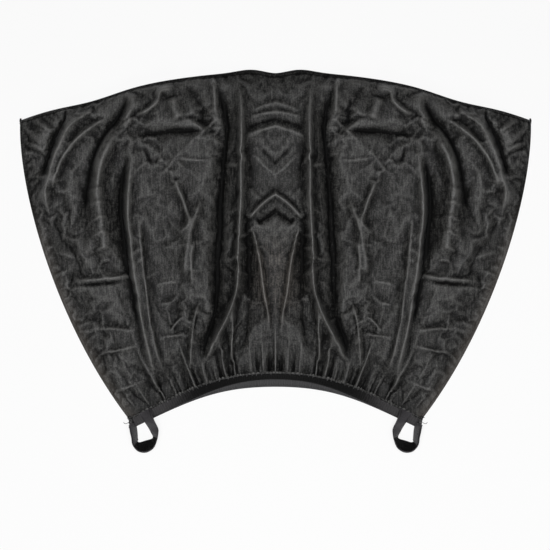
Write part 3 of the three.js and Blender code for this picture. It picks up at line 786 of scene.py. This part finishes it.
# %% The finishes by slot
BLACK = (0.003, 0.003, 0.003)
FINISHES = {
    # The crest weight paints highlights on ridges and shade in valleys.
    "front_mesh": fabric("front_stretch_mesh", BLACK, (0.066, 0.065, 0.062), 0.38, 900, 900, 0.14, gloss=0.27,
                         speckle=1.7, base=0.06, masks=[("crest", 0.62)], grain_scale=430.0),
    "rear_mesh": fabric("rear_stretch_mesh", BLACK, (0.045, 0.044, 0.043), 0.42, 900, 900, 0.1, gloss=0.35),
    # The front band's colours are darker than the rear band's, and its outer mask lightens its ends: painted
    # shade for its tilt away from the light.
    "front_elastic": fabric("front_elastic", (0.002, 0.002, 0.002), (0.052, 0.05, 0.052), 0.6, 260, 900, 0.2,
                            gloss=0.07, base=-0.3, masks=[("outer", 0.9)]),
    "rear_elastic": fabric("rear_elastic", (0.022, 0.022, 0.023), (0.07, 0.069, 0.072), 0.6, 260, 900, 0.2,
                           gloss=0.2),
    "webbing": fabric("grey_webbing", (0.022, 0.021, 0.023), (0.075, 0.071, 0.077), 0.55, 420, 900, 0.25,
                      gloss=0.25, speckle=0.35),
    "velour": fabric("loop_velour", (0.001, 0.001, 0.001), (0.005, 0.005, 0.005), 0.95, 1600, 1600, 0.4,
                     gloss=0.05),
    "hooks": fabric("hook_tape", (0.006, 0.005, 0.005), (0.03, 0.026, 0.025), 0.5, 1100, 1100, 0.4),
    "thread": fabric("black_thread", (0.006, 0.006, 0.006), (0.04, 0.04, 0.04), 0.6, 1500, 1500, 0.1),
}


def finish_piece(piece, slot, *nodes):
    """Give a piece the fabric of its slot, attach it to the root body, and hide the solids that it stands
    for.
    """
    if not piece.data.materials and slot in FINISHES:
        piece.data.materials.append(FINISHES[slot])
    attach(piece, "root")
    if nodes:
        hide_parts(*nodes)


finish_piece(front_cloth, "front_mesh", "front_mesh_panel")
print("finishes", len(FINISHES))

# %% [markdown]
# ## The rear layer
# The rear layer is cut to the same outline and lies flat on the floor, with a few soft waves. It shows
# from behind, and along the mouth where the front layer stands clear of it.

# %% Rear layer
def rear_panel():
    t_line = graded(90, 1.2)
    s_line = np.linspace(0, 1, 91)
    t, s = (g.ravel() for g in np.meshgrid(t_line, s_line, indexing="ij"))
    place = panel_place(s, t, REAR_MOUTH_HEIGHT)
    waves = 0.25 * layer_noise(place, 90, 3, 4.0)
    hem = 1.5 * smooth(1 - np.maximum(t * TOP_HEIGHT - LAP, 0) / 8)
    inside = smooth(np.minimum((1 - s) * 12, 1) * np.minimum((1 - t) * 12, 1))
    level = CLOTH + 0.1 + hem + np.clip(waves, -0.3, 0.3) * inside
    points = np.column_stack([place[:, 0], place[:, 1] + SHIFT_Y, level]).reshape(91, 91, 3)
    flat = np.column_stack([s * TOP_HALF_WIDTH, t * TOP_HEIGHT]).reshape(91, 91, 2)
    return grid_mesh("rear_cloth", mirrored(points, (-1, 1, 1)), mirrored(flat, (-1, 1)))


rear_cloth = rear_panel()
rear_cloth.data.flip_normals()
finish_piece(rear_cloth, "rear_mesh", "rear_mesh_panel")
print("rear cloth faces", len(rear_cloth.data.polygons))

# %% [markdown]
# ## Elastic bands
# Each band is a knitted tape about 16 mm wide. It is swept along the mouth with a rounded edge. The
# front one rides up with the gape of the mouth and turns its lower edge down; the rear one lies flat.

# %% Sweeping a tape
EDGE_ROUNDING = 0.25
WELD = 1e-7


def swept_tape(name, foot, lip, thickness, back, crown=0.0, across=14):
    """A tape between two edge lines (arrays of points in mm), thickened along back directions."""
    share = np.linspace(0, 1, across + 1)
    width = np.linalg.norm(lip - foot, axis=1).mean()
    section = [(v, 0.0) for v in share] + [(v, 1.0) for v in share[::-1]]
    rows = []
    for v, d in section:
        round_off = EDGE_ROUNDING * (1 - min(1, 6 * min(v, 1 - v) + 0.15))
        deep = thickness * (round_off + d * (1 - 2 * round_off))
        rise = crown * 4 * v * (1 - v)
        rows.append(foot + (lip - foot) * v + back * (deep - rise))
    points = np.stack(rows)
    points = np.concatenate([points, points[:1]])
    run = np.concatenate([[0], np.cumsum(np.linalg.norm(np.diff((foot + lip) / 2, axis=0), axis=1))])
    line = np.array([v * width + d * 2 for v, d in section] + [2 * width + 2])
    uv = np.stack(np.broadcast_arrays(run[None, :], line[:, None]), -1)
    piece = grid_mesh(name, points, uv)
    bm = bmesh.new()
    bm.from_mesh(piece.data)
    bmesh.ops.remove_doubles(bm, verts=bm.verts, dist=WELD)
    bmesh.ops.holes_fill(bm, edges=[e for e in bm.edges if e.is_boundary], sides=0)
    bmesh.ops.recalc_face_normals(bm, faces=bm.faces)
    bm.to_mesh(piece.data)
    bm.free()
    return piece


def curve_tangent(line):
    step = np.gradient(line, axis=0)
    return step / np.linalg.norm(step, axis=1, keepdims=True)


# %% Both bands
def mouth_line(reach, height, level, gape, rise=0.0, count=161):
    """A line along the whole mouth, reach mm below its edge and rise mm above the band's face."""
    s = np.linspace(0, 1, count)
    edge = mouth_edge(height, s)
    tangent = curve_tangent(edge)
    outward = np.stack([tangent[:, 1], -tangent[:, 0]], -1)
    tilt = MOUTH_TILT * gape * gape_share(s)
    lift = level + MOUTH_GAPE * gape * gape_share(s) + rise
    flat = edge + outward * (reach * np.cos(tilt))[:, None]
    half = np.column_stack([flat[:, 0], flat[:, 1] + SHIFT_Y, lift - reach * np.sin(tilt)])
    return np.concatenate([half[:0:-1] * (-1, 1, 1), half])


def band(name, height, level, gape, slot, node):
    foot = mouth_line(BAND_WIDTH - LAP, height, level, gape)
    lip = mouth_line(-LAP, height, level, gape)
    back = np.tile((0.0, 0.0, 1.0), (len(foot), 1))
    piece = swept_tape(name, foot, lip, BAND_THICKNESS, back, crown=-0.1)
    across = np.abs([v.co.x for v in piece.data.vertices]) / MM
    # The outer mask lightens the band's ends, which face the light more. The middle stays dark as painted
    # shade.
    store_mask(piece, "outer", smooth((across - 110) / 90))
    finish_piece(piece, slot, node)
    return piece


front_band = band("front_band", FRONT_MOUTH_HEIGHT, FRONT_BAND_LEVEL, 1,
                  "front_elastic", "front_elastic_band")
rear_band = band("rear_band", REAR_MOUTH_HEIGHT, 0, 0, "rear_elastic", "rear_elastic_band")
print("bands", len(front_band.data.polygons), len(rear_band.data.polygons))

# %% [markdown]
# ## The ruffle above the front band
# The elastic was stretched while it was sewn, so the cloth beside the stitches springs up in a narrow
# scalloped frill. It is part of the front layer and only a few millimetres wide.

# %% Hem ruffle
def hem_ruffle():
    count = 481
    s = np.linspace(0, 1, count)
    phase = math.pi * 1.7 * GATHERS * (s + 0.009 * np.sin(31 * s))
    scallop = np.abs(np.sin(phase)) ** 0.7 * (1 + 0.35 * np.sin(0.41 * phase + 1))
    rows = []
    for v in np.linspace(0, 1, 6):
        reach = -LAP + 1.6 - v * (1.6 + 2.6 * scallop)
        rise = BAND_THICKNESS + 0.3 + 1.1 * math.sin(2.4 * v) * (0.4 + scallop)
        rise = rise + 0.7 * v * np.sin(2 * phase + 0.6)
        rows.append(mouth_line(reach, FRONT_MOUTH_HEIGHT, FRONT_BAND_LEVEL, 1, rise, count))
    points = np.stack(rows)
    run = np.linspace(-TOP_HALF_WIDTH, TOP_HALF_WIDTH, points.shape[1])
    uv = np.stack(np.broadcast_arrays(run[None, :], 1.2 * np.arange(6)[:, None]), -1)
    ruffle = grid_mesh("hem_ruffle", points, uv)
    # Painted highlight on the scallop tops and towards the frill's outer row, painted shade between them.
    crest = np.tile(scallop - 0.55, (6, 1)) + np.linspace(-0.5, 0.5, 6)[:, None]
    store_mask(ruffle, "crest", mirrored(crest[..., None], (1,))[..., 0])
    return ruffle


ruffle = hem_ruffle()
finish_piece(ruffle, "front_mesh")
print("ruffle faces", len(ruffle.data.polygons))

# %% [markdown]
# ## Webbing loops
# A loop is one tape that leaves the front band flat, turns onto its edge, runs round the end and back
# to the corner, where it is closed over a shorter tape. Stations give the lower and the upper edge of
# the tape, measured from the corner of the mouth, and a smooth line runs through them.

# %% Stations of a loop
STRAP_WIDTH = 22.5
STRAP_THICKNESS = 1.2
PATCH_THICKNESS = 0.4
PATCH_INSET = 1.6
LOOP_SPREAD = 46
LOOP_DROP = 47
ON_BAND = FRONT_BAND_LEVEL + BAND_THICKNESS + CLEARANCE + STRAP_THICKNESS
CLOSURE = STRAP_THICKNESS + 2 * PATCH_THICKNESS + 0.3

# foot (shares of spread and drop), lean (shares of the width), level of the foot in mm
LOOP_COURSE = [
    ((-0.272, 0.25), (-0.898, 0.44), ON_BAND),
    ((-0.4, 0.096), (-0.8, 0.276), ON_BAND),
    ((-0.515, -0.06), (-0.74, 0.16), ON_BAND),
    ((-0.615, -0.243), (-0.74, 0.031), 0.5),
    ((-0.702, -0.404), (-0.58, 0.018), 0.5),
    ((-0.776, -0.553), (-0.36, -0.08), 0.5),
    ((-0.713, -0.613), (-0.24, -0.53), 0.5),
    ((-0.53, -0.664), (-0.107, -0.75), 0.5),
    ((-0.34, -0.705), (-0.02, -0.54), 0.5),
    ((-0.276, -0.64), (0.18, -0.222), 0.5),
    ((-0.261, -0.489), (0.231, -0.071), 0.5),
    ((-0.248, -0.336), (0.293, -0.009), 0.5),
    ((-0.225, -0.19), (0.302, 0.013), 0.8),
    ((-0.2, -0.05), (0.32, 0.03), 2.2),
]
LOOP_BEND = 5
LOOP_FOLD = 8


def smooth_line(points, steps):
    """A Catmull-Rom line through points in space."""
    points = np.array(points, float)
    ends = np.vstack([2 * points[0] - points[1], points, 2 * points[-1] - points[-2]])
    line = []
    for i in range(1, len(ends) - 2):
        a, b, c, d = ends[i - 1 : i + 3]
        u = np.linspace(0, 1, steps, endpoint=False)[:, None]
        line.append(0.5 * (2 * b + (c - a) * u + (2 * a - 5 * b + 4 * c - d) * u**2
                           + (3 * b - a - 3 * c + d) * u**3))
    return np.vstack(line + [points[-1:]])


def loop_lines(steps=10):
    """Lower and raised edge of the tape, and the place along the course, on the +X half."""
    feet = [(x * LOOP_SPREAD, y * LOOP_DROP, z) for (x, y), lean, z in LOOP_COURSE]
    lips = []
    for (x, y, z), (foot, (u, v), level) in zip(feet, LOOP_COURSE):
        rise = math.sqrt(max(1 - u * u - v * v, 0))
        lips.append((x + u * STRAP_WIDTH, y + v * STRAP_WIDTH, z + rise * STRAP_WIDTH))
    corner = np.array([*mouth_corner, 0]) + (0, SHIFT_Y, 0)
    place = np.linspace(0, len(feet) - 1, (len(feet) - 1) * steps + 1)
    return smooth_line(feet, steps) + corner, smooth_line(lips, steps) + corner, place


def closure_depth(place):
    """The long end lies outside the short one from the fold on."""
    return CLOSURE * smooth((place - LOOP_FOLD + 1) / 2)


def loop_piece(name, side, first, last, thickness, inset, depth, slot, *nodes):
    """A stretch of tape on one side, its inner face depth mm outside the course."""
    foot, lip, place = loop_lines()
    pick = (place >= first) & (place <= last)
    across = lip - foot
    along = curve_tangent((foot + lip) / 2)
    outer = np.cross(along, across)
    outer /= np.linalg.norm(outer, axis=1, keepdims=True)
    level = outer * (1, 1, 0)
    level /= np.maximum(np.linalg.norm(level, axis=1, keepdims=True), 1e-6)
    upright = smooth(place - 2)[:, None]
    outer = outer * (1 - upright) + level * upright
    width = np.linalg.norm(across, axis=1, keepdims=True)
    offset = outer * depth(place)[:, None]
    foot, lip = foot + across * inset / width + offset, lip - across * inset / width + offset
    flip = np.array([side, 1, 1])
    piece = swept_tape(name, (foot * flip)[pick], (lip * flip)[pick], thickness, (outer * flip)[pick])
    finish_piece(piece, slot, *nodes)
    return piece


# %% Both loops
LINING = PATCH_THICKNESS + 0.1
for word, side in (("left", -1), ("right", 1)):
    loop_piece(f"{word}_long_webbing", side, 0, 12.7, STRAP_THICKNESS, 0, closure_depth,
               "webbing", f"{word}_long_strap")
    loop_piece(f"{word}_loop_velour", side, LOOP_BEND - 0.2, 11.4, PATCH_THICKNESS, PATCH_INSET,
               lambda place: closure_depth(place) - LINING, "velour", f"{word}_loop_patch")
    loop_piece(f"{word}_short_webbing", side, LOOP_FOLD + 0.9, 13, STRAP_THICKNESS, 0, np.zeros_like,
               "webbing", f"{word}_short_strap")
    loop_piece(f"{word}_hook_tape", side, LOOP_FOLD + 1.1, 11.2, PATCH_THICKNESS, PATCH_INSET,
               lambda place: np.full_like(place, STRAP_THICKNESS + 0.1), "hooks", f"{word}_hook_patch")
print("webbing pieces", 8)

# %% [markdown]
# ## Sewing
# Thread shows as rows of short bars. One node tree lays them along any line: it spaces points evenly,
# sets a bar on each, and turns every second bar the other way, which gives a zigzag. The rows become
# plain meshes afterwards.

# %% The stitch tree
def stitch_tree():
    """Bars of thread along a line, with named sizes and a fixed seed."""
    tree = bpy.data.node_groups.new("stitch_row", "GeometryNodeTree")
    socket(tree, "Line", "NodeSocketGeometry")
    sizes = {"Spacing": 0.004, "Length": 0.003, "Thickness": 0.0005, "Turn": 0.5, "Unevenness": 0.25}
    for name, default in sizes.items():
        socket(tree, name, "NodeSocketFloat", default=default)
    socket(tree, "Thread", "NodeSocketMaterial")
    socket(tree, "Stitches", "NodeSocketGeometry", "OUTPUT")
    nodes, links = tree.nodes, tree.links
    given = nodes.new("NodeGroupInput").outputs
    result = nodes.new("NodeGroupOutput")
    curve = nodes.new("GeometryNodeMeshToCurve")
    spots = nodes.new("GeometryNodeResampleCurve")
    spots.mode = "LENGTH"
    links.new(given["Line"], curve.inputs["Mesh"])
    links.new(curve.outputs["Curve"], spots.inputs["Curve"])
    links.new(given["Spacing"], spots.inputs["Length"])
    bar = nodes.new("GeometryNodeMeshCylinder")
    bar.inputs["Vertices"].default_value = 6
    links.new(math_node(nodes, links, "MULTIPLY", given["Thickness"], 0.5), bar.inputs["Radius"])
    links.new(given["Length"], bar.inputs["Depth"])
    odd = math_node(nodes, links, "MODULO", nodes.new("GeometryNodeInputIndex").outputs[0], 2.0)
    way = math_node(nodes, links, "SUBTRACT", math_node(nodes, links, "MULTIPLY", odd, 2.0), 1.0)
    turn = nodes.new("ShaderNodeVectorRotate")
    turn.inputs["Axis"].default_value = (0, 0, 1)
    links.new(nodes.new("GeometryNodeInputTangent").outputs[0], turn.inputs["Vector"])
    links.new(math_node(nodes, links, "MULTIPLY", way, given["Turn"]), turn.inputs["Angle"])
    lie = nodes.new("FunctionNodeAlignRotationToVector")
    links.new(turn.outputs[0], lie.inputs["Vector"])
    size = nodes.new("FunctionNodeRandomValue")
    size.data_type = "FLOAT"
    links.new(math_node(nodes, links, "SUBTRACT", 1.0, given["Unevenness"]), size.inputs[2])
    links.new(math_node(nodes, links, "ADD", given["Unevenness"], 1.0), size.inputs[3])
    size.inputs["Seed"].default_value = 7
    place = nodes.new("GeometryNodeInstanceOnPoints")
    links.new(spots.outputs["Curve"], place.inputs["Points"])
    links.new(bar.outputs["Mesh"], place.inputs["Instance"])
    links.new(lie.outputs["Rotation"], place.inputs["Rotation"])
    links.new(size.outputs[1], place.inputs["Scale"])
    real = nodes.new("GeometryNodeRealizeInstances")
    links.new(place.outputs[0], real.inputs[0])
    dye = nodes.new("GeometryNodeSetMaterial")
    links.new(real.outputs[0], dye.inputs["Geometry"])
    links.new(given["Thread"], dye.inputs["Material"])
    links.new(dye.outputs[0], result.inputs["Stitches"])
    return tree


STITCHES = stitch_tree()

# %% Thread
def thread_material(name, dark, light):
    material, shader = blank_material(name, light, 0.6)
    nodes, links = material.node_tree.nodes, material.node_tree.links
    worn = group_node(nodes, grain, Scale=900.0)
    share = weighted(nodes, links, 0.5, [(worn.outputs["Speckle"], 0.8), (worn.outputs["Wear"], 0.6)])
    links.new(mixed(nodes, links, share, dark, light), shader.inputs["Base Color"])
    shader.inputs["Specular IOR Level"].default_value = 0.2
    return material


DARK_THREAD = thread_material("dark_thread", (0.002, 0.002, 0.002), (0.012, 0.012, 0.012))
WORN_THREAD = thread_material("worn_thread", (0.03, 0.03, 0.031), (0.13, 0.128, 0.13))
print("stitch tree inputs", sum(item.in_out == "INPUT" for item in STITCHES.interface.items_tree))

# %% A row of stitches
def stitch_row(name, lines, thread, **sizes):
    """Stitches along lines of points in mm. Sizes are in mm, the turn is in radians."""
    points, edges = [], []
    for line in lines:
        edges += [(len(points) + i, len(points) + i + 1) for i in range(len(line) - 1)]
        points += (np.asarray(line) * MM).tolist()
    course = bpy.data.meshes.new(name)
    course.from_pydata(points, edges, [])
    piece = bpy.data.objects.new(name, course)
    bpy.context.collection.objects.link(piece)
    rows = piece.modifiers.new("stitches", "NODES")
    rows.node_group = STITCHES
    values = {"Thread": thread}
    for key, value in sizes.items():
        values[key] = value if key in ("Turn", "Unevenness") else value * MM
    for item in STITCHES.interface.items_tree:
        if item.in_out == "INPUT" and item.name in values:
            rows[item.identifier] = values[item.name]
    made = piece.evaluated_get(bpy.context.evaluated_depsgraph_get())
    plain = bpy.data.meshes.new_from_object(made)
    piece.modifiers.clear()
    piece.data = plain
    finish_piece(piece, "thread")
    return piece


# %% [markdown]
# ## Overlocked seams
# Between the two layers runs a narrow allowance, bound by overlock thread. Above it the front layer
# carries a sunken row of stitches along the top and down both sides.

# %% Seam allowances
SEAM_WIDTH = 6


def inset(line, depth):
    """The line moved sideways on the floor, to the left of its run for a positive depth."""
    tangent = curve_tangent(line)
    return line + depth * np.stack([-tangent[:, 1], tangent[:, 0]], -1)


def allowance(name, line, depth, node):
    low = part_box(node)[0].z / MM
    edges = [np.column_stack([edge[:, 0], edge[:, 1] + SHIFT_Y, np.full(len(edge), low)])
             for edge in (inset(line, 0.4 * np.sign(depth)), inset(line, depth))]
    back = np.tile((0.0, 0.0, 1.0), (len(line), 1))
    finish_piece(swept_tape(name, *edges, SEAM_THICKNESS, back), "thread", node)


half_top = top_edge(np.linspace(0, 1, 160))
allowance("top_overlock", np.concatenate([half_top[:0:-1] * (-1, 1), half_top]), -SEAM_WIDTH, "top_seam")
right_side = side_edge(np.linspace(0.03, 0.98, 160))
allowance("right_overlock", right_side, SEAM_WIDTH, "right_side_seam")
allowance("left_overlock", right_side * (-1, 1), -SEAM_WIDTH, "left_side_seam")
print("seam allowances", 3)

# %% [markdown]
# ## Where the rows run
# A seam shows as a sunken dark row a few millimetres inside the edge, with pale overlock loops on the
# edge itself. The hem has spaced ticks above the front band, each band a zigzag along its free side,
# and each strap two rows where it is sewn to the band. All follow lines that are already known.

# %% Rows along the seams, the hem and the straps
def on_both(line):
    return [line, line * (-1, 1, 1)]


seam_top = front_grid[SEAM_ROW] + (0, 0, 0.1)
seam_side = front_grid[4:SEAM_ROW, -4] + (0, 0, 0.1)
edge_top = front_grid[-2] + (0, 0, 0.1)
edge_side = front_grid[3:, -2] + (0, 0, 0.1)
stitch_row("seam_stitches", on_both(seam_top) + on_both(seam_side), DARK_THREAD,
           Spacing=3.4, Length=2.6, Thickness=0.6, Turn=0.12)
stitch_row("overlock_loops", on_both(edge_top) + on_both(edge_side), WORN_THREAD,
           Spacing=2.6, Length=2.2, Thickness=0.35, Turn=1.3)
hem = mouth_line(-LAP + 1.4, FRONT_MOUTH_HEIGHT, FRONT_BAND_LEVEL, 1, BAND_THICKNESS + 0.45)
stitch_row("hem_ticks", [hem], WORN_THREAD, Spacing=7.5, Length=3.4, Thickness=0.8, Turn=1.25, Unevenness=0.5)
foot_row = mouth_line(BAND_WIDTH - LAP - 2, FRONT_MOUTH_HEIGHT, FRONT_BAND_LEVEL, 1, BAND_THICKNESS + 0.15)
stitch_row("band_zigzag", [foot_row], DARK_THREAD, Spacing=2.4, Length=3, Thickness=0.45, Turn=0.9)
rear_row = mouth_line(BAND_WIDTH - LAP - 3, REAR_MOUTH_HEIGHT, 0, 0, BAND_THICKNESS + 0.15)
stitch_row("rear_zigzag", [rear_row], DARK_THREAD, Spacing=2.4, Length=3, Thickness=0.45, Turn=0.9)
foot, lip, place = loop_lines()
on_band = slice(3, 19)
rows = []
for share in (0.12, 0.88):
    line = (foot + (lip - foot) * share)[on_band] + (0, 0, STRAP_THICKNESS + 0.12)
    rows += on_both(line)
stitch_row("strap_stitches", rows, DARK_THREAD, Spacing=2.2, Length=1.7, Thickness=0.5, Turn=0.1)
print("stitch rows done")

# %% [markdown]
# ## Corners of the mouth
# Where band, straps and side seam meet, the cloth is bunched and caught with a few heavy stitches, and
# ends of thread are left hanging. Small tails of overlock also stand out at the upper corners.

# %% Corner bunches and tails
def corner_point(x, y, z):
    return mouth_corner[0] + x, mouth_corner[1] + y + SHIFT_Y, z


def small_tape(name, side, feet, lips, thickness, slot, thread=None, crown=0.0):
    flip = np.array([side, 1, 1])
    foot, lip = (smooth_line([corner_point(*p) for p in line], 8) * flip for line in (feet, lips))
    back = np.tile((0.0, 0.0, 1.0), (len(foot), 1))
    piece = swept_tape(name, foot, lip, thickness, back, crown=crown, across=8)
    if thread:
        piece.data.materials.append(thread)
    finish_piece(piece, slot)


for word, side in (("left", -1), ("right", 1)):
    small_tape(f"{word}_corner_bunch", side,
               [(5.2, 7, 3.6), (2.6, 1.5, 3.4), (1.9, -4, 3), (1.2, -11.5, 1.6)],
               [(-1.5, 8, 6.5), (-3.6, 2, 12), (-3.9, -4, 14), (-2.4, -12.5, 11)],
               1.0, "front_mesh", crown=1.2)
    small_tape(f"{word}_thread_tail", side,
               [(1.5, -1.5, 3.4), (5, -4.2, 2.2), (9, -5, 0.8), (11.2, -2.4, 0.5)],
               [(1.5, -0.8, 3.4), (5.2, -3.5, 2.2), (8.6, -4.3, 0.8), (10.6, -2.1, 0.5)],
               0.6, "thread", DARK_THREAD)
    small_tape(f"{word}_overlock_tail", side,
               [(173, 482.5, 3.4), (174.6, 478.5, 3), (173, 472.5, 2.6)],
               [(176, 483.4, 3.4), (176.9, 478.4, 3), (175, 471.6, 2.6)], 1.0, "thread", DARK_THREAD)
bunch = [corner_point(*p) for p in [(3.4, 6.2, 6.2), (-0.4, 1.6, 9.6), (-0.8, -4, 10.2), (-0.4, -11, 8)]]
stitch_row("corner_stitches", on_both(smooth_line(bunch, 4)), DARK_THREAD,
           Spacing=3.6, Length=5, Thickness=1.1, Turn=1.2)
print("corner pieces", 6)

# %% [markdown]
# ## The floor
# The shade lies on pale paper. The paper takes the object's shadow as a diffuse surface would. Rays
# that come from the camera, and those mirrored by the cloth, see it mostly as plain white, so the
# background stays white without more light on the cloth.

# %% Floor
FLOOR_SIZE = 4
FLOOR_PALE = (0.8, 0.8, 0.8, 1)
FLOOR_GLOW = 0.8


def floor_material():
    material = bpy.data.materials.new("floor_white")
    material.use_nodes = True
    nodes, links = material.node_tree.nodes, material.node_tree.links
    nodes.clear()
    out = nodes.new("ShaderNodeOutputMaterial")
    seen = nodes.new("ShaderNodeMixShader")
    rays = nodes.new("ShaderNodeLightPath")
    paper = nodes.new("ShaderNodeBsdfDiffuse")
    paper.inputs["Color"].default_value = FLOOR_PALE
    glow = nodes.new("ShaderNodeEmission")
    glow.inputs["Strength"].default_value = 1
    factor = nodes.new("ShaderNodeMath")
    factor.operation = "MULTIPLY"
    factor.inputs[1].default_value = FLOOR_GLOW
    seen_by = math_node(nodes, links, "MAXIMUM", rays.outputs["Is Camera Ray"], rays.outputs["Is Glossy Ray"])
    seen_by = math_node(nodes, links, "MAXIMUM", seen_by, rays.outputs["Is Transmission Ray"])
    links.new(seen_by, factor.inputs[0])
    links.new(factor.outputs[0], seen.inputs["Fac"])
    links.new(paper.outputs[0], seen.inputs[1])
    links.new(glow.outputs[0], seen.inputs[2])
    links.new(seen.outputs[0], out.inputs["Surface"])
    return material


floor_mesh = bpy.data.meshes.new("floor")
corners = [(x * FLOOR_SIZE, y * FLOOR_SIZE, 0) for x, y in ((-1, -1), (1, -1), (1, 1), (-1, 1))]
floor_mesh.from_pydata(corners, [], [(0, 1, 2, 3)])
floor = bpy.data.objects.new("floor", floor_mesh)
floor.data.materials.append(floor_material())
bpy.context.collection.objects.link(floor)
print("floor", 2 * FLOOR_SIZE, "m wide")

# %% [markdown]
# ## The light
# A wide softbox straight above gives the even light of a catalogue picture. A long low lamp from the
# mouth's side grazes the folds, so that their crests catch a thin line and their valleys go dark.

# %% Light
def area_light(name, place, target, size, power):
    light = bpy.data.lights.new(name, "AREA")
    light.shape = "RECTANGLE"
    light.size, light.size_y = size
    light.energy = power
    lamp = bpy.data.objects.new(name, light)
    lamp.location = place
    lamp.rotation_mode = "QUATERNION"
    lamp.rotation_quaternion = (Vector(target) - Vector(place)).to_track_quat("-Z", "Y")
    bpy.context.collection.objects.link(lamp)
    return lamp


area_light("softbox", (0, -0.3, 2.7), (0, -0.1, 0), (1.9, 1.7), 74)
area_light("key", (0, -2.2, 1.3), (0, 0.05, 0), (2.4, 0.7), 14)
world = bpy.data.worlds.new("studio")
world.use_nodes = True
world.node_tree.nodes["Background"].inputs["Color"].default_value = (1, 1, 1, 1)
world.node_tree.nodes["Background"].inputs["Strength"].default_value = 0.1
bpy.context.scene.world = world
bpy.context.scene.view_settings.view_transform = "Standard"
print("lamps", 2)
